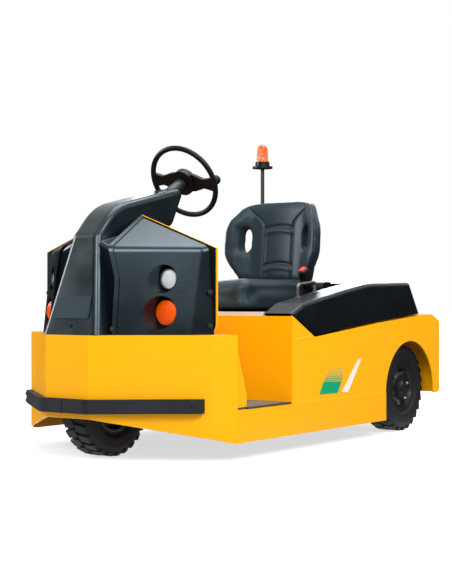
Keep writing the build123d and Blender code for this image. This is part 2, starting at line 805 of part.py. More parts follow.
def wing_top_z(x):
    """Height of the wing's top where it meets the bulkhead."""
    plane = wing_faces()[-1]
    run = plane.z_dir.X * (x - plane.origin.X) + plane.z_dir.Y * (BULKHEAD_Y - plane.origin.Y)
    return plane.origin.Z - run / plane.z_dir.Z


# Yellow bulkhead behind the cowl, showing as a thin edge round it
BULKHEAD_HALF = COWL_HALF + BULKHEAD_MARGIN
with BuildPart() as dash_bulkhead:
    with BuildSketch(Plane.XZ.offset(-BULKHEAD_Y - PLATE)) as bulkhead_outline:
        with BuildLine():
            Polyline(
                (0, SKIRT_TOP),
                (BULKHEAD_HALF, SKIRT_TOP),
                (BULKHEAD_HALF, wing_top_z(BULKHEAD_HALF) + BULKHEAD_LIP),
                (COWL_INNER_X, COWL_INNER_TOP + BULKHEAD_LIP),
                (COWL_INNER_X, COLUMN_UNDER_Z),
                (0, COLUMN_UNDER_Z),
                close=True,
            )
        make_face()
        corner = bulkhead_outline.vertices().sort_by(Axis.X)[-2:].sort_by(Axis.Z)[-1]
        fillet(corner, COWL_EDGE_R + BULKHEAD_LIP)
        mirror(about=Plane.YZ)
    extrude(amount=PLATE)

# Floor of the valley between the spine and the left wing, highest where it bridges the two
BRIDGE = facet_point(LIP_FOLD_X, COWL_FRONT_TOP)
BRIDGE_END = Vector(SPINE_TOP_HALF, along(-SPINE_BROW_Y), SPINE_SHOULDER_Z - BRIDGE_DROP)
VALLEY_LOW = facet_point(LIP_LOW_X, SKIRT_TOP) + Vector(0, VALLEY_DEPTH, 0)
VALLEY_REAR = Vector(COWL_INNER_X, BULKHEAD_Y, COWL_INNER_TOP - VALLEY_DEPTH)
with BuildPart() as spine_valley:
    with BuildSketch(Plane.XY.offset(SKIRT_TOP)):
        with Locations((VALLEY_ROOT_X, BULKHEAD_Y)):
            Rectangle(LIP_LOW_X - VALLEY_ROOT_X, NOSE_REACH, align=(Align.MIN, Align.MAX))
    extrude(amount=COWL_INNER_TOP)
    split(bisect_by=plane_through(BRIDGE, BRIDGE_END, VALLEY_LOW), keep=Keep.BOTTOM)
    split(bisect_by=plane_through(BRIDGE, VALLEY_REAR, BRIDGE_END), keep=Keep.BOTTOM)
    fillet(spine_valley.edges().sort_by_distance((BRIDGE + BRIDGE_END) * 0.5)[0], VALLEY_R)
    add(spine_room(-COWL_SPINE_GAP), mode=Mode.INTERSECT)


def spine_ridge(edge):
    """Whether an edge of the plain spine runs up its front or along its top."""
    middle = edge @ 0.5
    aside = abs(middle.X) > FIT
    climbs = edge.bounding_box().size.Z > FIT
    front = middle.Y < BULKHEAD_Y - FIT and middle.Z > SKIRT_TOP + FIT
    top = middle.Z > SPINE_CREST_Z and middle.Y < along(HEAD_Y - 2 * HEAD_R)
    return aside and climbs and (front or top)


# Spine of the cowl, running on as the steering column's cover, with a valley each side
COLUMN_TOP = -WHEEL_HUB_HEIGHT / 2 - HUB_GAP
with BuildPart() as column_fairing:
    with BuildSketch(Plane.YZ) as spine_side:
        with BuildLine():
            Polyline(
                (along(-SPINE_BOTTOM_Y), SKIRT_TOP),
                (along(-SPINE_BROW_Y), SPINE_SHOULDER_Z),
                (along(-SPINE_CREST_Y), SPINE_CREST_Z),
                (along(HEAD_Y), HEAD_Z),
                (along(CHIN_Y), CHIN_Z),
                (along(NECK_Y), COLUMN_UNDER_Z),
                (BULKHEAD_Y, COLUMN_UNDER_Z),
                (BULKHEAD_Y, SKIRT_TOP),
                close=True,
            )
        make_face()
        brow = spine_side.vertices().sort_by_distance(Vector(along(-SPINE_BROW_Y), SPINE_SHOULDER_Z))[0]
        fillet(brow, SPINE_BROW_R)
        crest = spine_side.vertices().sort_by_distance(Vector(along(-SPINE_CREST_Y), SPINE_CREST_Z))[0]
        fillet(crest, SPINE_CREST_R)
        fillet(spine_side.vertices().sort_by(Axis.X)[-2:], HEAD_R)
    extrude(amount=SPINE_BASE_HALF, both=True)
    with BuildSketch(Plane.XZ.offset(-along(2 * WHEEL_Y))) as spine_front:
        with BuildLine():
            Polyline(
                (SPINE_BASE_HALF, SKIRT_TOP),
                (SPINE_TOP_HALF, SPINE_SHOULDER_Z),
                (SPINE_TOP_HALF, WHEEL_Z + WHEEL_R),
                (-SPINE_TOP_HALF, WHEEL_Z + WHEEL_R),
                (-SPINE_TOP_HALF, SPINE_SHOULDER_Z),
                (-SPINE_BASE_HALF, SKIRT_TOP),
                close=True,
            )
        make_face()
        waists = spine_front.vertices().sort_by(Axis.Y)[2:4]
        fillet(waists, SPINE_WAIST_R)
    extrude(amount=BODY_LENGTH, mode=Mode.INTERSECT)
    ridges = column_fairing.edges().filter_by(spine_ridge)
    fillet(ridges, SPINE_EDGE_R)
    with BuildSketch(WHEEL_PLANE.offset(COLUMN_TOP - COLUMN_LENGTH - FIT)):
        Circle(COLUMN_R + FIT)
    extrude(amount=COLUMN_LENGTH, mode=Mode.SUBTRACT)
    add(spine_valley.part)
    add(mirror(spine_valley.part, about=Plane.YZ))

# Blank plate on the front of the spine
FACE_RISE = SPINE_SHOULDER_Z - SKIRT_TOP
FACE_RUN = SPINE_BOTTOM_Y - SPINE_BROW_Y
PLATE_Y = (PLATE_LOW - SKIRT_TOP) * FACE_RUN / FACE_RISE - SPINE_BOTTOM_Y
PLATE_FACE = Plane((0, along(PLATE_Y), PLATE_LOW), x_dir=(1, 0, 0), z_dir=(0, -FACE_RISE, FACE_RUN))
with BuildPart() as front_plate:
    with BuildSketch(PLATE_FACE):
        RectangleRounded(PLATE_WIDTH, PLATE_HEIGHT, PLATE_CORNER_R, align=(Align.CENTER, Align.MIN))
    extrude(amount=PLATE_THICKNESS)

# Steering column tube, and the wheel that turns in it
with BuildPart() as steering_column:
    with BuildSketch(WHEEL_PLANE.offset(COLUMN_TOP - COLUMN_LENGTH)):
        Circle(COLUMN_R)
        Circle(SHAFT_R + FIT, mode=Mode.SUBTRACT)
    extrude(amount=COLUMN_LENGTH)

with BuildPart(WHEEL_PLANE) as steering_wheel:
    Torus(WHEEL_R, RIM_TUBE_R)
    with BuildSketch(WHEEL_PLANE) as spokes:
        with BuildLine():
            Polyline(
                (0, SPOKE_ROOT / 2),
                (WHEEL_HUB_R, SPOKE_ROOT / 2),
                (SPOKE_WAIST_X, SPOKE_WAIST / 2),
                (WHEEL_R, SPOKE_END / 2),
                (WHEEL_R, -SPOKE_END / 2),
                (SPOKE_WAIST_X, -SPOKE_WAIST / 2),
                (WHEEL_HUB_R, -SPOKE_ROOT / 2),
                (0, -SPOKE_ROOT / 2),
                close=True,
            )
        make_face()
        mirror(about=Plane.YZ)
    extrude(amount=SPOKE_THICKNESS / 2, both=True)
    Cylinder(WHEEL_HUB_R, WHEEL_HUB_HEIGHT)
    crown = steering_wheel.faces().sort_by(Axis((0, 0, 0), WHEEL_AXIS))[-1]
    fillet(crown.edges(), HUB_DOME)
    with Locations((0, 0, -WHEEL_HUB_HEIGHT / 2)):
        Cylinder(SHAFT_R, SHAFT_LENGTH, align=(Align.CENTER, Align.CENTER, Align.MAX))

# Spinner knob on the left spoke
KNOB_X = WHEEL_R - RIM_TUBE_R - KNOB_STALK_R
with BuildPart(WHEEL_PLANE) as spinner_knob:
    with Locations((KNOB_X, 0, SPOKE_THICKNESS / 2)):
        Cylinder(KNOB_STALK_R, KNOB_HEIGHT, align=(Align.CENTER, Align.CENTER, Align.MIN))
    with Locations((KNOB_X, 0, SPOKE_THICKNESS / 2 + KNOB_HEIGHT)):
        Sphere(KNOB_R)

# Steered fork: crown, kingpin, legs and axle pin
with BuildPart() as steer_fork:
    with BuildSketch(Plane.XY.offset(CROWN_LOW)):
        with Locations((0, FRONT_AXLE_Y)):
            Circle(CROWN_R)
    extrude(amount=CROWN_THICKNESS)
    with BuildSketch(Plane.XY.offset(CROWN_TOP)):
        with Locations((0, FRONT_AXLE_Y)):
            Circle(KINGPIN_R)
    extrude(amount=SKIRT_TOP - PLATE / 2 - CROWN_TOP)
    LEG_X = TYRE_WIDTH / 2 + FORK_LEG_GAP + FORK_LEG / 2
    with BuildSketch(Plane.XY.offset(TYRE_R - FORK_LEG_WIDTH / 2)):
        with Locations((LEG_X, FRONT_AXLE_Y), (-LEG_X, FRONT_AXLE_Y)):
            Rectangle(FORK_LEG, FORK_LEG_WIDTH)
    extrude(amount=CROWN_LOW - TYRE_R + FORK_LEG_WIDTH / 2)
    with BuildSketch(Plane.YZ):
        with Locations((FRONT_AXLE_Y, TYRE_R)):
            Circle(FRONT_PIN_R)
    extrude(amount=LEG_X + FORK_LEG / 2, both=True)

# Brake and accelerator pedals on the toe board's slope
TOE_RISE = SKIRT_TOP - FLOOR_Z - TOE_KINK
TOE_SLOPE = Plane(
    (0, along(PLATE + TOE_Y / 2), SKIRT_TOP - TOE_RISE / 2), x_dir=(1, 0, 0), z_dir=(0, TOE_RISE, TOE_Y)
)
PEDAL_PLACES = ((BRAKE_X, 0), (BRAKE_X - PEDAL_SPACING, 0))
with BuildPart() as pedals:
    with BuildSketch(TOE_SLOPE):
        with Locations(*PEDAL_PLACES):
            Circle(PEDAL_STEM_R)
    extrude(amount=PEDAL_STEM)
    with BuildSketch(TOE_SLOPE.offset(PEDAL_STEM)):
        with Locations(*PEDAL_PLACES):
            RectangleRounded(PEDAL_WIDTH, PEDAL_HEIGHT, PEDAL_PAD)
    extrude(amount=PEDAL_PAD)


def hood_face(drop):
    """The hood seen from the side, its lower edge let down by drop."""
    rise = Vector(along(HOOD_RISE_Y), HOOD_RISE_TOP)
    crest = Vector(along(HOOD_CREST_Y), HOOD_CREST_TOP)
    tip = Vector(along(HOOD_TIP_Y), HOOD_TIP_TOP)
    with BuildSketch() as face:
        with BuildLine():
            Polyline(
                (along(FOOTWELL_LENGTH), HOOD_FRONT_LOW - drop),
                (along(HOOD_DIP_Y), HOOD_DIP_LOW - drop),
                (along(HOOD_MID_Y), HOOD_MID_LOW - drop),
                (along(HOOD_REAR_Y), HOOD_REAR_LOW - drop),
                (along(HOOD_END_Y), HOOD_END_TOP),
                crest,
                rise,
                tip,
                close=True,
            )
        make_face()
        for corner, bend_r in ((rise, HOOD_BEND_R), (crest, HOOD_BEND_R), (tip, HOOD_TIP_R)):
            fillet(face.vertices().sort_by_distance(corner)[0], bend_r)
    return face.sketch


def hood_edge(edge):
    """Whether an edge of the plain hood runs round its top."""
    middle = edge @ 0.5
    side = abs(middle.X) > BODY_HALF - FIT and middle.Z > HOOD_FRONT_LOW + PLATE
    end = abs(middle.X) < FIT and middle.Z > HOOD_END_TOP - FIT
    return side or end


# Room under the hood's shell
with BuildPart() as hood_room:
    with BuildSketch(Plane.YZ):
        add(hood_face(2 * HOOD_WALL))
        offset(amount=-HOOD_WALL, kind=Kind.INTERSECTION, mode=Mode.REPLACE)
    extrude(amount=BODY_HALF - HOOD_WALL, both=True)
    with BuildSketch(Plane.XY.offset(RECESS_FLOOR - HOOD_WALL)):
        with Locations((0, along(RECESS_END_Y + HOOD_WALL))):
            Rectangle(2 * (RECESS_HALF + HOOD_WALL), RECESS_END_Y, align=(Align.CENTER, Align.MAX))
    extrude(amount=RECESS_FLOOR, mode=Mode.SUBTRACT)

# Moulded hood with the seat recess, and the barrels it swings on
HINGE_PLACES = (HINGE_SPACING / 2, -HINGE_SPACING / 2)
with BuildPart() as hood:
    with BuildSketch(Plane.YZ):
        add(hood_face(0))
    extrude(amount=BODY_HALF, both=True)
    fillet(hood.edges().filter_by(hood_edge), HOOD_EDGE_R)
    add(hood_room.part, mode=Mode.SUBTRACT)
    with BuildSketch(Plane.XY.offset(RECESS_FLOOR)):
        with Locations((0, along(RECESS_END_Y))):
            Rectangle(2 * RECESS_HALF, RECESS_END_Y, align=(Align.CENTER, Align.MAX))
    extrude(amount=RECESS_FLOOR, mode=Mode.SUBTRACT)
    with BuildSketch():
        with Locations((0, along(RECESS_FRONT_Y))):
            Rectangle(2 * RECESS_HALF, RECESS_FRONT_Y, align=(Align.CENTER, Align.MAX))
    extrude(amount=2 * RECESS_FLOOR, mode=Mode.SUBTRACT)
    with BuildSketch(Plane.YZ):
        with Locations((HOOD_HINGE_Y, HOOD_HINGE_Z)):
            Circle(HINGE_BARREL_R)
        with Locations((HOOD_HINGE_Y, HOOD_HINGE_Z)):
            Rectangle(2 * HINGE_SETBACK, HINGE_BARREL_R, align=(Align.MAX, Align.CENTER))
        with Locations((HOOD_HINGE_Y, HOOD_HINGE_Z)):
            Circle(HINGE_PIN_R + FIT, mode=Mode.SUBTRACT)
    barrel = extrude(amount=HINGE_LENGTH / 2, both=True, mode=Mode.PRIVATE)
    for hinge_x in HINGE_PLACES:
        add(barrel.moved(Location((hinge_x, 0, 0))))

# The deck carries the hinges' ears and pins
EAR_GAP = 1.0
with BuildPart() as hood_hinges:
    for hinge_x in HINGE_PLACES:
        for side in (-1, 1):
            ear_x = hinge_x + side * (HINGE_LENGTH / 2 + EAR_GAP + EAR_THICKNESS / 2)
            with BuildSketch(Plane.YZ.offset(ear_x)):
                with Locations((HOOD_HINGE_Y, HOOD_HINGE_Z)):
                    Circle(HINGE_BARREL_R)
                with Locations((HOOD_HINGE_Y, DECK_Z)):
                    Rectangle(3 * HINGE_BARREL_R, HOOD_HINGE_Z - DECK_Z, align=(Align.MIN, Align.MIN))
            extrude(amount=EAR_THICKNESS / 2, both=True)
        with BuildSketch(Plane.YZ.offset(hinge_x)):
            with Locations((HOOD_HINGE_Y, HOOD_HINGE_Z)):
                Circle(HINGE_PIN_R)
        extrude(amount=HINGE_LENGTH / 2 + EAR_GAP + EAR_THICKNESS, both=True)

# Seat: steel tray with its rear riser, cushion and backrest
RISER_Y = CUSHION_REAR_Y + SEAT_TRAY
with BuildPart() as seat_frame:
    with BuildSketch(Plane.YZ):
        with BuildLine():
            Polyline(
                (along(CUSHION_FRONT + SEAT_TRAY_WIDTH / 4), RECESS_FLOOR),
                (along(RISER_Y + SEAT_TRAY), RECESS_FLOOR),
                (along(RISER_Y + SEAT_TRAY), BACK_LOW - SEAT_TRAY - FIT),
                (along(RECESS_END_Y - SEAT_TRAY), BACK_LOW - SEAT_TRAY - FIT),
                (along(RECESS_END_Y - SEAT_TRAY), BACK_LOW - FIT),
                (along(RISER_Y), BACK_LOW - FIT),
                (along(RISER_Y), RECESS_FLOOR + SEAT_TRAY),
                (along(CUSHION_FRONT + SEAT_TRAY_WIDTH / 4), RECESS_FLOOR + SEAT_TRAY),
                close=True,
            )
        make_face()
    extrude(amount=SEAT_TRAY_WIDTH / 2, both=True)

with BuildPart() as seat_cushion:
    with BuildSketch(Plane.XY.offset(RECESS_FLOOR + SEAT_TRAY + FIT)) as cushion_plan:
        with Locations((0, along(CUSHION_FRONT))):
            Rectangle(CUSHION_WIDTH, CUSHION_REAR_Y - CUSHION_FRONT, align=(Align.CENTER, Align.MIN))
        fillet(cushion_plan.vertices(), CUSHION_CORNER_R)
    extrude(amount=CUSHION_TOP - RECESS_FLOOR - SEAT_TRAY - FIT)
    fillet(seat_cushion.faces().sort_by(Axis.Z)[-1].edges(), CUSHION_EDGE_R)

# Backrest bent round the driver, with a hand hole through each side
BACK_PLANE = Plane(
    (0, along(BACK_FRONT_Y), BACK_LOW), x_dir=(-1, 0, 0), z_dir=(0, BACK_HEIGHT, -BACK_LEAN)
)
BACK_RISE = Plane(BACK_PLANE.origin, x_dir=BACK_PLANE.x_dir, z_dir=BACK_PLANE.y_dir)
with BuildPart() as seat_back:
    with BuildSketch(BACK_PLANE) as back_outline:
        with BuildLine():
            Polyline(
                (0, -BACK_LEAN),
                (BACK_FOOT_WIDTH / 2, -BACK_LEAN),
                (BACK_WIDTH / 2, BACK_WAIST),
                (BACK_WIDTH / 2, BACK_BEND),
                (BACK_CROWN_WIDTH / 2, BACK_HEIGHT),
                (0, BACK_HEIGHT),
                close=True,
            )
        make_face()
        mirror(about=Plane.YZ)
        bends = [corner for corner in back_outline.vertices() if corner.Y > 0]
        fillet(bends, BACK_ROUND_R)
        hole_x = BACK_WIDTH / 2 - HAND_HOLE_INSET
        with Locations(Location((hole_x, HAND_HOLE_RISE), 90), Location((-hole_x, HAND_HOLE_RISE), 90)):
            SlotOverall(HAND_HOLE_HEIGHT, HAND_HOLE_WIDTH, mode=Mode.SUBTRACT)
    extrude(amount=BACK_SCOOP + BACK_THICKNESS)
    with BuildSketch(BACK_RISE.offset(-BACK_HEIGHT)):
        with Locations((0, SCOOP_R - BACK_SCOOP)):
            Circle(SCOOP_R + BACK_THICKNESS)
            Circle(SCOOP_R, mode=Mode.SUBTRACT)
    extrude(amount=3 * BACK_HEIGHT, mode=Mode.INTERSECT)
    split(bisect_by=Plane.XY.offset(BACK_LOW), keep=Keep.TOP)

# Belt buckle on its stalk, and the belt's reel each side of the seat
BUCKLE_X = CUSHION_WIDTH / 2 + BUCKLE_GAP + BUCKLE_WIDTH / 2
BUCKLE_Y = along(RECESS_END_Y - BUCKLE_SETBACK)
with BuildPart() as belt_buckle:
    with BuildSketch(Plane.XY.offset(RECESS_FLOOR)):
        with Locations((BUCKLE_X, BUCKLE_Y)):
            Rectangle(STALK_THICKNESS, STALK_WIDTH)
    extrude(amount=BUCKLE_TOP - RECESS_FLOOR - BUCKLE_HEIGHT)
    with BuildSketch(Plane.XY.offset(BUCKLE_TOP - BUCKLE_HEIGHT)):
        with Locations((BUCKLE_X, BUCKLE_Y)):
            RectangleRounded(BUCKLE_WIDTH, BUCKLE_LENGTH, BUCKLE_R)
    extrude(amount=BUCKLE_HEIGHT)

REEL_X = CUSHION_WIDTH / 2 + REEL_GAP + REEL_WIDTH / 2
REEL_Y = along(RECESS_END_Y - REEL_SETBACK)
with BuildPart() as belt_reel:
    for reel_x in (REEL_X, -REEL_X):
        with BuildSketch(Plane.YZ.offset(reel_x)) as reel_side:
            with Locations((REEL_Y, RECESS_FLOOR)):
                Rectangle(REEL_LENGTH, REEL_HEIGHT, align=(Align.CENTER, Align.MIN))
            fillet(reel_side.vertices().sort_by(Axis.Y)[-2:], REEL_R)
        extrude(amount=REEL_WIDTH / 2, both=True)


# Grab rod on the hood's left shoulder
def shoulder_z(y):
    """Height of the hood's shoulder at a place along it."""
    return HOOD_TIP_TOP + (y - HOOD_TIP_Y) * (HOOD_RISE_TOP - HOOD_TIP_TOP) / (HOOD_RISE_Y - HOOD_TIP_Y)


ROD_TOP = shoulder_z(ROD_FRONT_Y) + ROD_RISE
ROD_FOOT = shoulder_z(ROD_FRONT_Y + ROD_R) + FIT
ROD_REAR_FOOT = shoulder_z(ROD_FRONT_Y + ROD_LENGTH + ROD_R) + FIT
with BuildPart() as grab_rod:
    with BuildLine(Plane.YZ.offset(BODY_HALF - ROD_INSET)) as rod_path:
        FilletPolyline(
            (along(ROD_FRONT_Y), ROD_FOOT),
            (along(ROD_FRONT_Y), ROD_TOP),
            (along(ROD_FRONT_Y + ROD_LENGTH), ROD_TOP + 2 * ROD_R),
            (along(ROD_FRONT_Y + ROD_LENGTH), ROD_REAR_FOOT),
            radius=2 * ROD_R,
        )
    with BuildSketch(Plane((BODY_HALF - ROD_INSET, along(ROD_FRONT_Y), ROD_FOOT))):
        Circle(ROD_R)
    sweep(path=rod_path.wires()[0])

# Beacon pole, base and dome
with BuildPart() as beacon_pole:
    with BuildSketch(Plane.XY.offset(DECK_Z)):
        with Locations((POLE_INSET - BODY_HALF, REAR_Y - POLE_SETBACK)):
            Circle(POLE_FOOT_R)
    extrude(amount=POLE_FOOT)
    with BuildSketch(Plane.XY.offset(DECK_Z)):
        with Locations((POLE_INSET - BODY_HALF, REAR_Y - POLE_SETBACK)):
            Circle(POLE_R)
    extrude(amount=POLE_TOP - DECK_Z)

with BuildPart() as beacon_base:
    with BuildSketch(Plane.XY.offset(POLE_TOP)):
        with Locations((POLE_INSET - BODY_HALF, REAR_Y - POLE_SETBACK)):
            Circle(FLANGE_R)
    extrude(amount=FLANGE_THICKNESS)
    with BuildSketch(Plane.XY.offset(POLE_TOP + FLANGE_THICKNESS)):
        with Locations((POLE_INSET - BODY_HALF, REAR_Y - POLE_SETBACK)):
            Circle(BEACON_BASE_R)
    extrude(amount=BEACON_BASE_HEIGHT)

with BuildPart() as beacon_dome:
    with BuildSketch(Plane.XY.offset(POLE_TOP + FLANGE_THICKNESS + BEACON_BASE_HEIGHT)):
        with Locations((POLE_INSET - BODY_HALF, REAR_Y - POLE_SETBACK)):
            Circle(DOME_R)
    with BuildSketch(Plane.XY.offset(POLE_TOP + FLANGE_THICKNESS + BEACON_BASE_HEIGHT + DOME_HEIGHT)):
        with Locations((POLE_INSET - BODY_HALF, REAR_Y - POLE_SETBACK)):
            Circle(DOME_TOP_R)
    loft()

# Rear lamps
with BuildPart() as rear_lamps:
    with BuildSketch(Plane.XZ.offset(-REAR_Y)):
        lamp_x = BODY_HALF - REAR_LAMP_INSET
        with Locations((lamp_x, REAR_LAMP_Z), (-lamp_x, REAR_LAMP_Z)):
            Circle(REAR_LAMP_R)
    extrude(amount=-REAR_LAMP_DEPTH)


def mirrored(piece):
    """The other side's copy of a piece."""
    return mirror(piece, about=Plane.YZ)


rear_rim = make_rim(REAR_WHEEL_X, REAR_AXLE_Y, SPINDLE_R, True)
rear_tyre = make_tyre(REAR_WHEEL_X, REAR_AXLE_Y)

PIECES = {
    "front_skirt": front_skirt.part,
    "front_deck": front_deck.part,
    "kingpin_boss": kingpin_boss.part,
    "toe_board": toe_board.part,
    "floor_plate": floor_plate.part,
    "sill_left": sill_left.part,
    "sill_right": mirrored(sill_left.part),
    "side_panel_left": side_panel_left.part,
    "side_panel_right": mirrored(side_panel_left.part),
    "seat_box_front": seat_box_front.part,
    "seat_box_strip": seat_box_strip.part,
    "rear_shell": rear_shell.part,
    "frame_rail_left": frame_rail_left.part,
    "frame_rail_right": mirrored(frame_rail_left.part),
    "battery": battery.part,
    "rear_axle": rear_axle.part,
    "tow_hitch": tow_hitch.part,
    "bumper_left": bumper_left.part,
    "bumper_right": mirrored(bumper_left.part),
    "cowl_left": cowl_left.part,
    "cowl_right": mirrored(cowl_left.part),
    "headlamps": make_lamps(HEADLAMP_Z, HEADLAMP_R, HEADLAMP_SETBACK),
    "indicators": make_lamps(INDICATOR_Z, INDICATOR_R, INDICATOR_SETBACK),
    "dash_bulkhead": dash_bulkhead.part,
    "column_fairing": column_fairing.part,
    "front_plate": front_plate.part,
    "steering_column": steering_column.part,
    "steering_wheel": steering_wheel.part,
    "spinner_knob": spinner_knob.part,
    "steer_fork": steer_fork.part,
    "pedals": pedals.part,
    "hood": hood.part,
    "hood_hinges": hood_hinges.part,
    "seat_frame": seat_frame.part,
    "seat_cushion": seat_cushion.part,
    "seat_back": seat_back.part,
    "belt_buckle": belt_buckle.part,
    "belt_reel": belt_reel.part,
    "grab_rod": grab_rod.part,
    "beacon_pole": beacon_pole.part,
    "beacon_base": beacon_base.part,
    "beacon_dome": beacon_dome.part,
    "rear_lamps": rear_lamps.part,
    "front_rim": make_rim(0, FRONT_AXLE_Y, FRONT_PIN_R, False),
    "front_tyre": make_tyre(0, FRONT_AXLE_Y),
    "rear_rim_left": rear_rim,
    "rear_tyre_left": rear_tyre,
    "rear_rim_right": mirrored(rear_rim),
    "rear_tyre_right": mirrored(rear_tyre),
}

os.makedirs("parts", exist_ok=True)
for node, piece in PIECES.items():
    piece.label = node
    export_step(piece, f"parts/{node}.step")
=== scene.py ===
# %% [markdown]
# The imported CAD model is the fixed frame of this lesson. Every CAD node arrives in metres, at its real
# place, so each later cell either gives a node a finish or adds a piece that sits on one.

# %% Load the frame
import json
import math

import bmesh
import bpy
from mathutils import Matrix, Vector


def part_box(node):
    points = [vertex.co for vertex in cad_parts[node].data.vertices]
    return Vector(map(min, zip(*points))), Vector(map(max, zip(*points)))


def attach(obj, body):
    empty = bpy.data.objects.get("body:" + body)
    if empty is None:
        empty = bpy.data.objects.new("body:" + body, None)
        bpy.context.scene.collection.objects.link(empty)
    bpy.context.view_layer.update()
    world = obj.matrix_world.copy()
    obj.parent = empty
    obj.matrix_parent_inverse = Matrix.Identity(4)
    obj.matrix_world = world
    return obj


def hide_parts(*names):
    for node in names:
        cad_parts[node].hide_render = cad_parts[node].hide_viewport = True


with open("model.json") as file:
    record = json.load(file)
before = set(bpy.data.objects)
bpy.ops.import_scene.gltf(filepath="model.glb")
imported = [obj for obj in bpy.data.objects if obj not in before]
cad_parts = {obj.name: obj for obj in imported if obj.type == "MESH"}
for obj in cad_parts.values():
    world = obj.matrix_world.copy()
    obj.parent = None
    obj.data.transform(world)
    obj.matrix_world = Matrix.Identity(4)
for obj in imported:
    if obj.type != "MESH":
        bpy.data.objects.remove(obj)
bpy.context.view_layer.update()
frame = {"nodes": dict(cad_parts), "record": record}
nodes = frame["nodes"]

# %% [markdown]
# The photograph was taken low and from the driver's left, with a long lens. The camera below is the one
# that the body's straight edges point back to: level, turned 35.85 degrees, with a small shift for the
# horizon.

# %% Camera
IMAGE_HEIGHT = 584
FOCAL_PIXELS = 1293.0
HORIZON_BELOW_CENTRE = 5.75
SENSOR_WIDTH = 36.0
CAMERA_PLACE = (3.2646, -4.5465, 0.6022)
CAMERA_TURN = math.radians(35.85)
scene = bpy.context.scene
lens = bpy.data.cameras.new("photo_camera")
lens.sensor_width = SENSOR_WIDTH
lens.lens = SENSOR_WIDTH * FOCAL_PIXELS / IMAGE_HEIGHT
lens.shift_y = HORIZON_BELOW_CENTRE / IMAGE_HEIGHT
camera = bpy.data.objects.new("photo_camera", lens)
camera.location = CAMERA_PLACE
camera.rotation_euler = (math.radians(90), 0, CAMERA_TURN)
scene.collection.objects.link(camera)
scene.camera = camera
print("lens", round(lens.lens, 2), "mm")

# %% [markdown]
# Node trees light the world, paint the finishes and plant the small parts. A few helpers build them all:
# one fills a socket with a value or a link, one makes a node from its named inputs, and one does a sum.

# %% Node helpers
def fill(tree, socket, value):
    """Sets a socket to a plain value, or links another socket to it."""
    if isinstance(value, bpy.types.NodeSocket):
        tree.links.new(value, socket)
    else:
        socket.default_value = value


def feed(tree, node, **inputs):
    """Fills a node's inputs by name, with an underscore for each space."""
    for label, value in inputs.items():
        fill(tree, node.inputs[label.replace("_", " ")], value)


def wire(tree, kind, settings=None, **inputs):
    """A new node's outputs, after its settings and its inputs are filled."""
    node = tree.nodes.new(kind)
    for label, value in (settings or {}).items():
        setattr(node, label, value)
    feed(tree, node, **inputs)
    return node.outputs


def work_out(tree, operation, first, second):
    """The result of one sum on two values or sockets."""
    node = tree.nodes.new("ShaderNodeMath")
    node.operation = operation
    fill(tree, node.inputs[0], first)
    fill(tree, node.inputs[1], second)
    return node.outputs[0]


# %% [markdown]
# A product photograph is lit by large soft boxes. One stands in front on the camera's left, one fills the
# driver's side, two smaller ones reach the cowl's brow and the cab, one hangs overhead to draw the pale
# streaks along the black mouldings, and one lifts the rear. The world adds a little even light. What the
# camera, gloss and glass see behind the object is plain white.

# %% Lights and world
COOL_WHITE = (0.86, 0.95, 1.0)
AMBIENT = 0.5
scene.view_settings.view_transform = "Standard"


def soft_box(name, place, aim, size, power, tint=(1.0, 1.0, 1.0)):
    """A rectangular lamp at a place, turned towards its aim."""
    light = bpy.data.lights.new(name, "AREA")
    light.shape = "RECTANGLE"
    light.size, light.size_y = size
    light.energy = power
    light.color = tint
    box = bpy.data.objects.new(name, light)
    box.location = place
    box.rotation_euler = (Vector(aim) - Vector(place)).to_track_quat("-Z", "Y").to_euler()
    scene.collection.objects.link(box)


def seen_directly(tree):
    """A socket that is 1 for camera, glossy and transmission rays and 0 for the rest."""
    path = wire(tree, "ShaderNodeLightPath")
    either = work_out(tree, "MAXIMUM", path["Is Camera Ray"], path["Is Glossy Ray"])
    return work_out(tree, "MAXIMUM", either, path["Is Transmission Ray"])


soft_box("front_box", (-4.6, -2.6, 2.4), (0, -0.6, 0.5), (2.6, 2.2), 190)
soft_box("side_box", (4.4, -0.6, 3.6), (0, 0.1, 0.5), (2.4, 1.8), 135)
soft_box("brow_box", (3.4, -4.5, 2.9), (0.3, -0.9, 0.7), (2.4, 0.8), 42, COOL_WHITE)
soft_box("cab_box", (1.9, -3.0, 3.0), (0.2, -0.3, 0.4), (1.6, 1.2), 66)
soft_box("top_box", (0.4, 0.6, 4.4), (0, 0.1, 0.4), (3.2, 2.6), 135, COOL_WHITE)
soft_box("rear_box", (-3.0, 4.6, 2.6), (0, 0.3, 0.5), (2.4, 2.0), 110)

world = bpy.data.worlds.new("studio")
world.use_nodes = True
scene.world = world
sky = world.node_tree
sky.nodes.clear()
ambient = wire(sky, "ShaderNodeBackground", Color=(0.93, 0.97, 1.0, 1.0), Strength=AMBIENT)
white = wire(sky, "ShaderNodeBackground", Color=(1.0, 1.0, 1.0, 1.0))
choose = sky.nodes.new("ShaderNodeMixShader")
for socket, value in zip(choose.inputs, (seen_directly(sky), ambient[0], white[0])):
    fill(sky, socket, value)
wire(sky, "ShaderNodeOutputWorld", Surface=choose.outputs[0])

# %% [markdown]
# The floor is a wide pale sheet that glows a little, so that it reads as white paper and still takes the
# soft shadow under the wheels. The glow grows with the distance from the object, because the lamps reach
# less far out there.

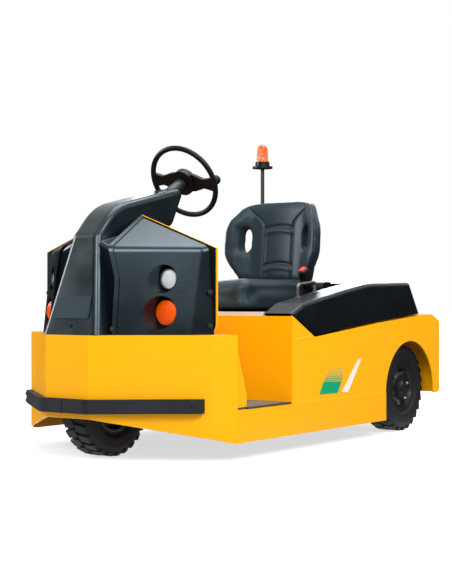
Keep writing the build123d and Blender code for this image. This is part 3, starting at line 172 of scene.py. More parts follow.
# %% Floor
FLOOR_HALF = 30.0
NEAR_GLOW = 0.66
GLOW_START = 1.2
GLOW_END = 4.5
PAPER_GREY = (0.5, 0.5, 0.5, 1.0)
sheet = bpy.data.meshes.new("floor_sheet")
corners = [(x * FLOOR_HALF, y * FLOOR_HALF, 0) for x, y in ((-1, -1), (1, -1), (1, 1), (-1, 1))]
sheet.from_pydata(corners, [], [(0, 1, 2, 3)])
floor = bpy.data.objects.new("floor_sheet", sheet)
scene.collection.objects.link(floor)
paper = bpy.data.materials.new("studio_paper")
paper.use_nodes = True
tree = paper.node_tree
tree.nodes.clear()
place = wire(tree, "ShaderNodeTexCoord")["Object"]
away = wire(tree, "ShaderNodeVectorMath", {"operation": "LENGTH"}, Vector=place)["Value"]
spread = wire(
    tree, "ShaderNodeMapRange",
    Value=away, From_Min=GLOW_START, From_Max=GLOW_END, To_Min=NEAR_GLOW)["Result"]
painted_glow = wire(tree, "ShaderNodeEmission", Strength=work_out(tree, "MULTIPLY", spread, seen_directly(tree)))
matt = wire(tree, "ShaderNodeBsdfDiffuse", Color=PAPER_GREY)
both = tree.nodes.new("ShaderNodeAddShader")
fill(tree, both.inputs[0], matt[0])
fill(tree, both.inputs[1], painted_glow[0])
wire(tree, "ShaderNodeOutputMaterial", Surface=both.outputs[0])
sheet.materials.append(paper)
print("floor", 2 * FLOOR_HALF, "m wide")

# %% [markdown]
# Gloss black shows whatever stands opposite it. A studio lays a dark skirt and hangs dark curtains round
# a black product, so that its upright faces stay black and only the faces that look up catch the pale
# light. The curtain rises as a tall flag opposite the spine. Gloss alone sees it.

# %% Dark curtain
CURTAIN_TOP = 2.1
CURTAIN_SIDES = 48
SKIRT_HOOP = (0.8, 1.3, 0.01)
FOOT_HOOP = (6.0, 6.0, 0.02)
TOP_HOOP = (6.4, 6.4, CURTAIN_TOP)
FLAG_RISE = 2.2
FLAG_TURN = math.radians(234)
VELVET = (0.01, 0.011, 0.012, 1.0)
form = bmesh.new()
rows = []
angles = [math.tau * side / CURTAIN_SIDES for side in range(CURTAIN_SIDES)]
for across, along, height in (SKIRT_HOOP, FOOT_HOOP, TOP_HOOP):
    rows.append([form.verts.new((across * math.cos(a), along * math.sin(a), height)) for a in angles])
for angle, vertex in zip(angles, rows[-1]):
    vertex.co.z += FLAG_RISE * max(0.0, math.cos(angle - FLAG_TURN)) ** 4
for lower, upper in zip(rows, rows[1:]):
    for side in range(CURTAIN_SIDES):
        form.faces.new([lower[side - 1], lower[side], upper[side], upper[side - 1]])
drape = bpy.data.meshes.new("dark_curtain")
form.to_mesh(drape)
form.free()
velvet = bpy.data.materials.new("dark_velvet")
velvet.use_nodes = True
feed(velvet.node_tree, velvet.node_tree.nodes["Principled BSDF"], Base_Color=VELVET, Roughness=1.0)
drape.materials.append(velvet)
curtain = bpy.data.objects.new("dark_curtain", drape)
scene.collection.objects.link(curtain)
curtain.visible_camera = False
curtain.visible_diffuse = False
curtain.visible_shadow = False
curtain.visible_transmission = False
print("curtain", CURTAIN_TOP, "m high")

# %% [markdown]
# Each finish is one node tree with three layers: broad mottling of the colour, patches of roughness, and
# a fine bump for the grain. They all read Object coordinates, which are metres here, so a scale of 400 is
# a grain of a few millimetres. A finish near the ground also takes a film of dust, which thins out with
# height.

# %% Finish helper
DUST_TOP = 0.42
DUST_COLOUR = (0.16, 0.145, 0.125, 1.0)
DUST_PATCHES = 17.0
MOTTLE_LOW, MOTTLE_HIGH = 0.35, 0.65
BUMP_DEPTH = 0.001
COAT_ROUGHNESS = 0.08


def dusted(tree, place, painted, amount):
    """Mixes a dry grey film over a colour, patchy and thickest near the ground."""
    height = wire(tree, "ShaderNodeSeparateXYZ", Vector=place)["Z"]
    fade = wire(tree, "ShaderNodeMapRange", Value=height, From_Max=DUST_TOP, To_Min=amount, To_Max=0.0)
    patches = wire(tree, "ShaderNodeTexNoise", Vector=place, Scale=DUST_PATCHES)
    share = work_out(tree, "MULTIPLY", fade["Result"], patches["Fac"])
    film = wire(tree, "ShaderNodeMix", {"data_type": "RGBA"}, Factor=share, A=painted, B=DUST_COLOUR)
    return film["Result"]


def finish(name, colour, shade, rough, grain_scale, grain, *, mottle_scale=6.0, leather=False, metallic=0.0,
           coat=0.0, specular=0.5, painted_reflection_tint=(1.0, 1.0, 1.0), painted_glow=0.0, dust=0.0):
    """A finish whose colour drifts towards shade and whose roughness runs between two values."""
    material = bpy.data.materials.new(name)
    material.use_nodes = True
    tree = material.node_tree
    place = wire(tree, "ShaderNodeTexCoord")["Object"]
    mottle = wire(tree, "ShaderNodeTexNoise", Vector=place, Scale=mottle_scale, Detail=4.0)["Fac"]
    painted = wire(
        tree, "ShaderNodeMix", {"data_type": "RGBA"},
        Factor=mottle, A=(*colour, 1.0), B=(*shade, 1.0))["Result"]
    if dust:
        painted = dusted(tree, place, painted, dust)
    polish = wire(
        tree, "ShaderNodeMapRange",
        Value=mottle, From_Min=MOTTLE_LOW, From_Max=MOTTLE_HIGH, To_Min=rough[0], To_Max=rough[1])["Result"]
    if leather:
        cells = wire(
            tree, "ShaderNodeTexVoronoi", {"feature": "DISTANCE_TO_EDGE"}, Vector=place, Scale=grain_scale)
        height = cells["Distance"]
    else:
        height = wire(tree, "ShaderNodeTexNoise", Vector=place, Scale=grain_scale, Detail=3.0)["Fac"]
    bump = wire(tree, "ShaderNodeBump", Strength=grain, Distance=BUMP_DEPTH, Height=height)["Normal"]
    bsdf = tree.nodes["Principled BSDF"]
    # The specular tint is a painted reflection colour.
    feed(tree, bsdf, Base_Color=painted, Roughness=polish, Normal=bump, Metallic=metallic, Coat_Weight=coat,
         Coat_Roughness=COAT_ROUGHNESS, Specular_IOR_Level=specular, Specular_Tint=(*painted_reflection_tint, 1.0))
    # A painted glow: the finish also emits its own colour, so the part reads brighter than its light makes
    # it.
    if painted_glow:
        feed(tree, bsdf, Emission_Color=(*colour, 1.0), Emission_Strength=painted_glow)
    return material


# %% [markdown]
# The real tractor has few finishes: yellow enamel over folded steel, two kinds of black moulding, rubber,
# grained vinyl, a few bright and painted metal fittings, and coloured lenses. A cool blue-grey tint is
# painted into the gleam of the black mouldings and the vinyl, a painted reflection of cool light, and the
# lenses carry a faint painted glow. The toe board is painted with the body.

# %% Finishes by slot
# A painted reflection: a cool blue-grey tint for the gleam of the black mouldings and the vinyl.
PAINTED_COOL_REFLECTION = (0.72, 0.9, 1.0)
finishes = {
    "body_yellow": finish(
        "yellow_enamel", (1.0, 0.44, 0.0), (0.95, 0.40, 0.0), (0.3, 0.42), 700, 0.03,
        coat=0.06, specular=0.2),
    "cowl_black": finish(
        "gloss_moulding", (0.003, 0.006, 0.008), (0.005, 0.009, 0.011), (0.2, 0.3), 900, 0.04,
        painted_reflection_tint=PAINTED_COOL_REFLECTION),
    "hood_black": finish(
        "satin_moulding", (0.002, 0.003, 0.004), (0.004, 0.005, 0.006), (0.3, 0.4), 1400, 0.1,
        specular=0.35, painted_reflection_tint=PAINTED_COOL_REFLECTION),
    "bumper_rubber": finish(
        "bumper_rubber", (0.008, 0.01, 0.013), (0.015, 0.017, 0.021), (0.5, 0.68), 500, 0.2,
        specular=0.3, dust=0.06),
    "tyre_rubber": finish(
        "tyre_rubber", (0.006, 0.006, 0.007), (0.012, 0.012, 0.013), (0.5, 0.7), 320, 0.3,
        specular=0.25, dust=0.05),
    "rim_black": finish(
        "rim_paint", (0.008, 0.009, 0.01), (0.014, 0.015, 0.016), (0.25, 0.4), 800, 0.08,
        specular=0.4, dust=0.04),
    "frame_black": finish(
        "frame_paint", (0.01, 0.011, 0.013), (0.018, 0.019, 0.021), (0.35, 0.5), 700, 0.1, dust=0.15),
    "bright_steel": finish(
        "zinc_plate", (0.2, 0.21, 0.22), (0.14, 0.145, 0.15), (0.32, 0.46), 600, 0.06, metallic=1.0),
    "strip_aluminium": finish(
        "strip_aluminium", (0.78, 0.77, 0.8), (0.7, 0.69, 0.72), (0.4, 0.55), 900, 0.05, metallic=0.3),
    "floor_dark": finish(
        "floor_paint", (0.045, 0.036, 0.03), (0.07, 0.058, 0.05), (0.4, 0.6), 500, 0.15),
    "battery_case": finish(
        "battery_case", (0.03, 0.03, 0.034), (0.045, 0.045, 0.05), (0.4, 0.55), 600, 0.1),
    "axle_iron": finish(
        "axle_iron", (0.025, 0.025, 0.027), (0.05, 0.048, 0.046), (0.5, 0.7), 260, 0.35, dust=0.25),
    "seat_vinyl": finish(
        "seat_vinyl", (0.012, 0.02, 0.025), (0.017, 0.027, 0.033), (0.36, 0.46), 420, 0.14,
        leather=True, specular=0.3, painted_reflection_tint=PAINTED_COOL_REFLECTION),
    # The lens finishes carry a faint painted glow that brightens them beyond the light that reaches them.
    "lens_clear": finish(
        "lens_clear", (0.72, 0.74, 0.74), (0.55, 0.58, 0.58), (0.06, 0.12), 300, 0.1, coat=0.6, painted_glow=0.12),
    "lens_amber": finish(
        "lens_amber", (1.0, 0.11, 0.002), (0.9, 0.08, 0.001), (0.12, 0.2), 240, 0.1, coat=0.3, painted_glow=0.06),
    "lens_red": finish(
        "lens_red", (0.6, 0.008, 0.006), (0.45, 0.005, 0.004), (0.12, 0.2), 260, 0.1, coat=0.5, painted_glow=0.15),
    "wheel_black": finish(
        "wheel_moulding", (0.003, 0.003, 0.004), (0.006, 0.006, 0.007), (0.32, 0.45), 1100, 0.12,
        specular=0.2),
    "plate_dark": finish(
        "plate_paint", (0.017, 0.034, 0.039), (0.02, 0.038, 0.044), (0.4, 0.44), 800, 0.05,
        specular=0.1, mottle_scale=60),
}
slots = {row["node"]: row["material_slot"] for row in frame["record"]["subparts"]}
slots["toe_board"] = "body_yellow"
for name, node in nodes.items():
    node.data.materials.clear()
    node.data.materials.append(finishes[slots[name]])
print("finishes", len(finishes))

# %% [markdown]
# The seat is moulded foam under grained vinyl. Each pad starts as a copy of its CAD solid, remeshed into
# even small quads so that it can be shaped like clay: a dished middle, raised bolsters, rounded rims. A
# short cloth run with a little inner pressure then draws the skin tight, and a subdivision smooths it.

# %% Pad helpers
CLOTH_FRAMES = 20
CLOTH_PRESSURE = 4.0
RELAX_FACTOR = 0.5


def link_piece(name, mesh):
    """A new object in the scene for a mesh."""
    piece = bpy.data.objects.new(name, mesh)
    scene.collection.objects.link(piece)
    return piece


def apply_modifiers(piece):
    """Replaces a piece's mesh with its evaluated one and drops the modifiers."""
    old = piece.data
    graph = bpy.context.evaluated_depsgraph_get()
    piece.data = bpy.data.meshes.new_from_object(piece.evaluated_get(graph), depsgraph=graph)
    piece.modifiers.clear()
    bpy.data.meshes.remove(old)


def clay_from(node, name, voxel):
    """A copy of a CAD solid as even small quads."""
    form = bmesh.new()
    form.from_mesh(nodes[node].data)
    bmesh.ops.remove_doubles(form, verts=form.verts, dist=1e-5)
    mesh = bpy.data.meshes.new(name)
    form.to_mesh(mesh)
    form.free()
    pad = link_piece(name, mesh)
    remesh = pad.modifiers.new("even_quads", "REMESH")
    remesh.mode = "VOXEL"
    remesh.voxel_size = voxel
    apply_modifiers(pad)
    return pad


def relax(pad, rounds):
    """Rounds a pad off by moving each point towards its neighbours."""
    smooth = pad.modifiers.new("relax", "SMOOTH")
    smooth.iterations = rounds
    smooth.factor = RELAX_FACTOR
    apply_modifiers(pad)


def draw_tight(pad, held, cap):
    """A short cloth run under inner pressure; no point moves further than cap."""
    start = [v.co.copy() for v in pad.data.vertices]
    group = pad.vertex_groups.new(name="held")
    group.add([v.index for v in pad.data.vertices if held(v.co)], 1.0, "REPLACE")
    cloth = pad.modifiers.new("vinyl", "CLOTH")
    cloth.settings.use_pressure = True
    cloth.settings.uniform_pressure_force = CLOTH_PRESSURE
    cloth.settings.effector_weights.gravity = 0.0
    cloth.settings.vertex_group_mass = "held"
    cloth.point_cache.frame_start = 1
    cloth.point_cache.frame_end = CLOTH_FRAMES
    for step in range(1, CLOTH_FRAMES + 1):
        scene.frame_set(step)
    apply_modifiers(pad)
    scene.frame_set(1)
    pad.vertex_groups.clear()
    for vertex, rest in zip(pad.data.vertices, start):
        move = vertex.co - rest
        if move.length > cap:
            vertex.co = rest + move * (cap / move.length)


def finish_pad(pad, node):
    """Smooths and covers a pad, and lets it stand for its CAD solid."""
    smooth = pad.modifiers.new("smooth", "SUBSURF")
    smooth.levels = 1
    smooth.render_levels = 1
    apply_modifiers(pad)
    pad.data.materials.clear()
    pad.data.materials.append(finishes["seat_vinyl"])
    for face in pad.data.polygons:
        face.use_smooth = True
    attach(pad, "hood")
    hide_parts(node)
    print(pad.name, "faces", len(pad.data.polygons))


def ease(value):
    """A smooth step from 0 to 1."""
    value = min(max(value, 0.0), 1.0)
    return value * value * (3 - 2 * value)


def crease(distance, width):
    """A soft bump of height 1, as wide as a seam or a roll."""
    return math.exp(-((distance / width) ** 2))


# %% [markdown]
# The cushion is low and square with rounded corners. Its middle is dished for the driver, its sides stay
# up as bolsters, and its front rolls over for the knees. Two sewn seams run back along the bolsters and
# one crosses near the front, pressed in as shallow grooves.

# %% Seat cushion
CUSHION_VOXEL = 0.0065
CUSHION_CAP = 0.007
HELD_HEIGHT = 0.03
BOLSTER_SEAM_X = 0.155
BOLSTER_BLEND = 0.06
DISH_DEPTH = 0.014
DISH_LEAD, DISH_LENGTH = 0.04, 0.2
ROLL_DEPTH = 0.014
ROLL_LENGTH = 0.06
WAIST = 0.010
WAIST_REACH = 0.2
TOP_SKIN = 0.06
SEAM_WIDTH = 0.006
SEAM_DEPTH = 0.006
SEAM_OVERRUN = 0.02
CROSS_BOW = 0.03
low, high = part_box("seat_cushion")
CUSHION_TOP = high[2]
CUSHION_FRONT, CUSHION_REAR = low[1], high[1]
CROSS_SEAM_Y = CUSHION_FRONT + 0.13
cushion = clay_from("seat_cushion", "cushion_pad", CUSHION_VOXEL)
for vertex in cushion.data.vertices:
    x, y, z = vertex.co
    rise = ease((z - low[2]) / (CUSHION_TOP - low[2]))
    aside = ease((abs(x) - BOLSTER_SEAM_X + BOLSTER_BLEND) / (2 * BOLSTER_BLEND))
    back = ease((y - CROSS_SEAM_Y + DISH_LEAD) / DISH_LENGTH)
    dish = DISH_DEPTH * (1 - aside) * (0.3 + 0.7 * back)
    roll = ROLL_DEPTH * ease((CUSHION_FRONT + ROLL_LENGTH - y) / ROLL_LENGTH) ** 2
    vertex.co.z = z - rise * (dish + roll)
    vertex.co.x = x - math.copysign(WAIST * math.sin(math.pi * rise) * ease(abs(x) / WAIST_REACH), x)
relax(cushion, 6)
draw_tight(cushion, lambda p: p.z < low[2] + HELD_HEIGHT, CUSHION_CAP)
relax(cushion, 24)
for vertex in cushion.data.vertices:
    x, y, z = vertex.co
    if z < CUSHION_TOP - TOP_SKIN:
        continue
    groove = 0.0
    if y > CROSS_SEAM_Y - SEAM_OVERRUN:
        groove = crease(abs(x) - BOLSTER_SEAM_X, SEAM_WIDTH)
    if abs(x) < BOLSTER_SEAM_X:
        bow = CROSS_SEAM_Y - CROSS_BOW * (1 - (x / BOLSTER_SEAM_X) ** 2)
        groove = max(groove, crease(y - bow, SEAM_WIDTH))
    vertex.co.z = z - SEAM_DEPTH * groove
finish_pad(cushion, "seat_cushion")

# %% [markdown]
# The backrest wraps round the driver: a narrow middle panel between two wide side wings, each with a hand
# hole. The CAD solid already has the curve and the holes. The clay brings the wings further forward,
# rounds the outline and lifts its top a little. Then come the panel seams that run down beside the
# middle, and the two bowed cross seams with a soft roll under each.

# %% Backrest
BACK_VOXEL = 0.0055
BACK_CAP = 0.006
BACK_HELD = 0.01
WRAP = 0.04
WING_START, WING_BLEND = 0.12, 0.15
WING_TUCK = 0.06
RAISE = 0.018
ROUNDNESS = 3.0
ROUND_START, ROUND_BLEND = -0.7, 0.4
PANEL_HALF = 0.078
PANEL_FLARE = 0.085
FLARE_HEIGHT = 0.11
FLARE_CURVE = 1.4
PANEL_SEAM_DEPTH = 0.007
SEAM_FADE, SEAM_FADE_LENGTH = 0.015, 0.03
SEAM_BOW = 0.012
SEAM_ROLL_DROP, SEAM_ROLL_WIDTH, SEAM_ROLL_RISE = 0.022, 0.009, 0.0035
FRONT_FACING = -0.35
low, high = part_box("seat_back")
BACK_LOW, BACK_TOP = low[2], high[2]
BACK_HALF = high[0]
UPPER_SEAM_Z = BACK_LOW + 0.245
LOWER_SEAM_Z = BACK_LOW + 0.075
back_middle = (BACK_LOW + BACK_TOP) / 2
back_reach = (BACK_TOP - BACK_LOW) / 2
backrest = clay_from("seat_back", "backrest_pad", BACK_VOXEL)
for vertex in backrest.data.vertices:
    x, y, z = vertex.co
    lift = (z - back_middle) / back_reach
    spread = ((abs(x) / BACK_HALF) ** ROUNDNESS + abs(lift) ** ROUNDNESS) ** (1 / ROUNDNESS)
    inward = 1 + (1 / max(spread, 1.0) - 1) * ease((lift - ROUND_START) / ROUND_BLEND)
    aside = ease((abs(x) - WING_START) / WING_BLEND)
    vertex.co.x = x * inward * (1 - WING_TUCK * aside)
    vertex.co.y = y - WRAP * aside
    vertex.co.z = back_middle + lift * inward * back_reach + RAISE * ease(lift)
relax(backrest, 30)
draw_tight(backrest, lambda p: p.z < BACK_LOW + BACK_HELD, BACK_CAP)
relax(backrest, 16)


def panel_edge(z):
    """Half-width of the middle panel, flaring out towards the top."""
    return PANEL_HALF + PANEL_FLARE * ease((z - UPPER_SEAM_Z) / FLARE_HEIGHT) ** FLARE_CURVE


def cross_seam(x, height):
    """Height of a bowed cross seam at a distance from the middle."""
    return height + SEAM_BOW * (1 - (x / PANEL_HALF) ** 2)


for vertex in backrest.data.vertices:
    x, y, z = vertex.co
    if vertex.normal.y > FRONT_FACING:
        continue
    beside = abs(x) - panel_edge(z)
    fade = ease((BACK_TOP + RAISE - SEAM_FADE - z) / SEAM_FADE_LENGTH)
    groove = PANEL_SEAM_DEPTH * crease(beside, SEAM_WIDTH) * fade
    if beside < 0:
        for seam_z in (UPPER_SEAM_Z, LOWER_SEAM_Z):
            gap = z - cross_seam(x, seam_z)
            groove += SEAM_DEPTH * crease(gap, SEAM_WIDTH)
            groove -= SEAM_ROLL_RISE * crease(gap + SEAM_ROLL_DROP, SEAM_ROLL_WIDTH)
    vertex.co.y = y + groove
finish_pad(backrest, "seat_back")

# %% [markdown]
# Lenses, caps and tyres are turned parts: one profile swept round an axis. A small helper adds such a
# shape to an open form, and another closes the form into a named piece with its body and the finish of
# its slot.

# %% Turning helpers
def turn(form, profile, centre, axis, steps=64, ring=False):
    """Adds a turned solid. Each profile point is a distance along the axis and a radius."""
    axis = Vector(axis).normalized()
    side = axis.orthogonal().normalized()
    third = axis.cross(side)
    angles = [math.tau * step / steps for step in range(steps)]
    rows = []
    for reach, radius in profile:
        middle = Vector(centre) + axis * reach
        if radius == 0:
            rows.append([form.verts.new(middle)])
            continue
        spokes = [side * math.cos(angle) + third * math.sin(angle) for angle in angles]
        rows.append([form.verts.new(middle + spoke * radius) for spoke in spokes])
    pairs = list(zip(rows, rows[1:]))
    if ring:
        pairs.append((rows[-1], rows[0]))
    for first, second in pairs:
        for step in range(steps):
            after = (step + 1) % steps
            around = [first[step % len(first)], first[after % len(first)]]
            around += [second[after % len(second)], second[step % len(second)]]
            form.faces.new(list(dict.fromkeys(around)))


def band_between(form, first, second):
    """Joins two closed rows of points with a band of quads."""
    for corner in range(len(first)):
        form.faces.new([first[corner - 1], first[corner], second[corner], second[corner - 1]])


def dress(piece, body, slot, *stands_for):
    """Gives a piece its body and hides the CAD nodes that it stands for. The slot is not used."""
    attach(piece, body)
    if stands_for:
        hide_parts(*stands_for)
    print(piece.name, "faces", len(piece.data.polygons))


def piece_of(form, name, body, slot, *stands_for, sharp=32, paint=None):
    """Closes a form into a smooth-shaded piece with crisp edges."""
    bmesh.ops.recalc_face_normals(form, faces=form.faces)
    mesh = bpy.data.meshes.new(name)
    form.to_mesh(mesh)
    form.free()
    mesh.materials.append(paint or finishes[slot])
    mesh.shade_smooth()
    mesh.set_sharp_from_angle(angle=math.radians(sharp))
    dress(link_piece(name, mesh), body, slot, *stands_for)


def dome(edge, rise, start, rings, ripple=0.0, waves=5):
    """Profile of a lens from its rim to its middle, with fine concentric ripples."""
    points = []
    for step in range(rings):
        out = edge * (1 - step / rings)
        crown = start + rise * (1 - (out / edge) ** 2)
        points.append((crown - ripple * (1 + math.cos(math.tau * waves * out / edge)) / 2, out))
    return points + [(start + rise - ripple, 0)]


# %% [markdown]
# The front lamps sit deep in the cowl's tubes. Each headlamp has a bright bezel ring and a pale lens
# pressed with upright flutes; the indicator below it is a larger amber lens with concentric steps. Both
# pairs are one piece each.

# %% Front lamps
FLUTE_PITCH = 0.0065
FLUTE_DEPTH = 0.0013
FLUTED_FROM = 0.0095
LENS_GAP = 0.004
BEZEL_WALL = 0.0035
FORWARD = (0, -1, 0)


def lamp_places(node):
    """The lamp's middle on its rear face, on both sides, and its radius."""
    low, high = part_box(node)
    radius = (high[2] - low[2]) / 2
    return [(hand * (high[0] - radius), high[1], (low[2] + high[2]) / 2) for hand in (1, -1)], radius


spots, lamp_r = lamp_places("headlamps")
lens_r = lamp_r - LENS_GAP
form = bmesh.new()
for spot in spots:
    profile = [(0, 0), (0, lens_r)] + dome(lens_r, 0.006, 0.010, rings=18)
    turn(form, profile, spot, FORWARD, steps=96)
for vertex in form.verts:
    if vertex.co.y < spots[0][1] - FLUTED_FROM:
        vertex.co.y += FLUTE_DEPTH * (1 + math.cos(math.tau * vertex.co.x / FLUTE_PITCH))
piece_of(form, "headlamp_lenses", "chassis", "lens_clear", "headlamps")
form = bmesh.new()
inner = lamp_r - BEZEL_WALL
for spot in spots:
    loop = [(0, inner), (0.011, inner), (0.0165, lamp_r - 0.002), (0.0145, lamp_r), (0, lamp_r)]
    turn(form, loop, spot, FORWARD, steps=72, ring=True)
piece_of(form, "headlamp_bezels", "chassis", "bright_steel")
spots, lamp_r = lamp_places("indicators")
form = bmesh.new()
for spot in spots:
    profile = [(0, 0), (0, lamp_r), (0.009, lamp_r)]
    profile += dome(lamp_r - 0.0015, 0.007, 0.0105, rings=36, ripple=0.0013, waves=6)
    turn(form, profile, spot, FORWARD, steps=72)
piece_of(form, "indicator_lenses", "chassis", "lens_amber", "indicators", sharp=60)

# %% [markdown]
# The beacon on its pole is a ribbed amber cup. A turned profile gives the cup, and a small wave round the
# axis presses the upright ribs into it.

# %% Beacon lens
BEACON_RIBS = 18
RIB_LOW, RIB_HIGH = 0.013, 0.067
RIB_DEPTH = 0.0016
low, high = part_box("beacon_dome")
middle = (low + high) / 2
cup_r = (high[0] - low[0]) / 2
cup_height = high[2] - low[2]
form = bmesh.new()
walls = [(0, 0), (0, cup_r), (0.006, cup_r), (0.008, cup_r - 0.002)]
walls += [(0.012 + 0.056 * step / 10, cup_r - 0.002 - 0.003 * step / 10) for step in range(11)]
walls += [(0.074, cup_r - 0.006), (0.082, cup_r - 0.010)]
walls += [(cup_height - 0.002, cup_r - 0.018), (cup_height, 0)]
turn(form, walls, (middle[0], middle[1], low[2]), (0, 0, 1), steps=BEACON_RIBS * 8)
for vertex in form.verts:
    if RIB_LOW < vertex.co.z - low[2] < RIB_HIGH:
        out = Vector((vertex.co.x - middle[0], vertex.co.y - middle[1], 0))
        wave = (1 - math.cos(BEACON_RIBS * math.atan2(out.y, out.x))) / 2
        vertex.co -= out.normalized() * RIB_DEPTH * wave
piece_of(form, "beacon_lens", "chassis", "lens_amber", "beacon_dome", sharp=40)

# %% [markdown]
# The tail lamps are round red lenses in black rings. Nothing in the photograph shows them, so they are
# the usual kind for a works tractor.

# %% Tail lamps
TAIL_GAP = 0.006
TAIL_RING_WALL = 0.0055
BACKWARD = (0, 1, 0)
low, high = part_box("rear_lamps")
lamp_r = (high[2] - low[2]) / 2
spots = [(hand * (high[0] - lamp_r), low[1], (low[2] + high[2]) / 2) for hand in (1, -1)]
lens_r = lamp_r - TAIL_GAP
form = bmesh.new()
for spot in spots:
    profile = [(0, 0), (0, lens_r)] + dome(lens_r, 0.011, 0.0105, rings=30, ripple=0.0012)
    turn(form, profile, spot, BACKWARD)
piece_of(form, "tail_lenses", "chassis", "lens_red", "rear_lamps", sharp=60)
form = bmesh.new()
inner = lamp_r - TAIL_RING_WALL
for spot in spots:
    loop = [(0, inner), (0.014, inner), (0.017, lamp_r - 0.003), (0.014, lamp_r), (0, lamp_r)]
    turn(form, loop, spot, BACKWARD, ring=True)
piece_of(form, "tail_rings", "chassis", "wheel_black")

# %% [markdown]
# Small parts that repeat are planted by Geometry Nodes: a mesh of bare points carries a facing direction,
# a spin and a size for each part, and a tree sets one shape on every point. The tree ends in Realize
# Instances and Set Material, and the result is turned into a plain mesh.

# %% Planting helpers
def new_tree(name, **inputs):
    """An empty geometry tree with named inputs, its input node and its output node."""
    tree = bpy.data.node_groups.new(name, "GeometryNodeTree")
    tree.interface.new_socket("Geometry", in_out="INPUT", socket_type="NodeSocketGeometry")
    for label, kind in inputs.items():
        tree.interface.new_socket(label.replace("_", " "), in_out="INPUT", socket_type="NodeSocket" + kind)
    tree.interface.new_socket("Geometry", in_out="OUTPUT", socket_type="NodeSocketGeometry")
    return tree, tree.nodes.new("NodeGroupInput").outputs, tree.nodes.new("NodeGroupOutput").inputs


def attribute(tree, name, kind):
    """A named value that each point carries."""
    return wire(tree, "GeometryNodeInputNamedAttribute", {"data_type": kind}, Name=name)["Attribute"]


def plant(tree, given, result, shape):
    """Ends a tree: the shape on every point, turned to its facing and spin, made real and painted."""
    facing = wire(
        tree, "FunctionNodeAlignRotationToVector", {"axis": "Z"},
        Vector=attribute(tree, "facing", "FLOAT_VECTOR"))
    spin = wire(
        tree, "FunctionNodeAxisAngleToRotation", Axis=(0, 0, 1), Angle=attribute(tree, "spin", "FLOAT"))
    turned = wire(
        tree, "FunctionNodeRotateRotation", {"rotation_space": "LOCAL"},
        Rotation=facing["Rotation"], Rotate_By=spin["Rotation"])
    copies = wire(
        tree, "GeometryNodeInstanceOnPoints", Points=given["Geometry"], Instance=shape,
        Rotation=turned["Rotation"], Scale=attribute(tree, "size", "FLOAT"))
    real = wire(tree, "GeometryNodeRealizeInstances", Geometry=copies["Instances"])
    painted = wire(tree, "GeometryNodeSetMaterial", Geometry=real["Geometry"], Material=given["Material"])
    tree.links.new(painted["Geometry"], result["Geometry"])


def at(place, facing, spin=0.0, size=1.0):
    """One spot for a planted shape."""
    return place, facing, spin, size


def planted(name, tree, spots, body, slot, paint=None, **sizes):
    """One plain mesh of a tree's shape on a list of spots."""
    mesh = bpy.data.meshes.new(name)
    mesh.from_pydata([spot[0] for spot in spots], [], [])
    facing = mesh.attributes.new("facing", "FLOAT_VECTOR", "POINT")
    for point, spot in zip(facing.data, spots):
        point.vector = spot[1]
    for column, label in ((2, "spin"), (3, "size")):
        numbers = mesh.attributes.new(label, "FLOAT", "POINT")
        for point, spot in zip(numbers.data, spots):
            point.value = spot[column]
    piece = link_piece(name, mesh)
    growth = piece.modifiers.new("planted", "NODES")
    growth.node_group = tree
    keys = {item.name: item.identifier for item in tree.interface.items_tree if item.in_out == "INPUT"}
    growth[keys["Material"]] = paint or finishes[slot]
    for label, value in sizes.items():
        growth[keys[label.replace("_", " ")]] = value
    apply_modifiers(piece)
    dress(piece, body, slot)


# %% [markdown]
# Two shapes serve nearly everything. The fastener is a tapered head on a washer, with a core in its top
# that sinks as a socket or rises as a stud. The block is a tapered bar for lugs, ribs and ridges; turned
# by an eighth it is square, and unturned it is a lozenge.

# %% Fastener and block trees
HEAD_TAPER = 0.88
WASHER_SIDES = 28
SQUARE = math.pi / 4
LOZENGE = 0.0
HALF_DIAGONAL = math.sqrt(0.5)
fastener_tree, given, result = new_tree(
    "fastener", Head_Radius="Float", Head_Height="Float", Head_Sides="Int", Core_Share="Float",
    Core_Rise="Float", Washer_Radius="Float", Washer_Height="Float", Material="Material")
head = wire(
    fastener_tree, "GeometryNodeMeshCone", Vertices=given["Head Sides"],
    Radius_Top=work_out(fastener_tree, "MULTIPLY", given["Head Radius"], HEAD_TAPER),
    Radius_Bottom=given["Head Radius"], Depth=given["Head Height"])
rim = wire(
    fastener_tree, "GeometryNodeExtrudeMesh", Mesh=head["Mesh"], Selection=head["Top"], Offset_Scale=0.0)
core = wire(
    fastener_tree, "GeometryNodeScaleElements", Geometry=rim["Mesh"], Selection=rim["Top"],
    Scale=given["Core Share"])
drive = wire(
    fastener_tree, "GeometryNodeExtrudeMesh", Mesh=core["Geometry"], Selection=rim["Top"],
    Offset_Scale=given["Core Rise"])
lift = wire(fastener_tree, "ShaderNodeCombineXYZ", Z=given["Washer Height"])
raised = wire(fastener_tree, "GeometryNodeTransform", Geometry=drive["Mesh"], Translation=lift["Vector"])
washer = wire(
    fastener_tree, "GeometryNodeMeshCone", Vertices=WASHER_SIDES, Radius_Top=given["Washer Radius"],
    Radius_Bottom=given["Washer Radius"], Depth=given["Washer Height"])
stack = fastener_tree.nodes.new("GeometryNodeJoinGeometry")
for part in (washer["Mesh"], raised["Geometry"]):
    fastener_tree.links.new(part, stack.inputs[0])
plant(fastener_tree, given, result, stack.outputs[0])

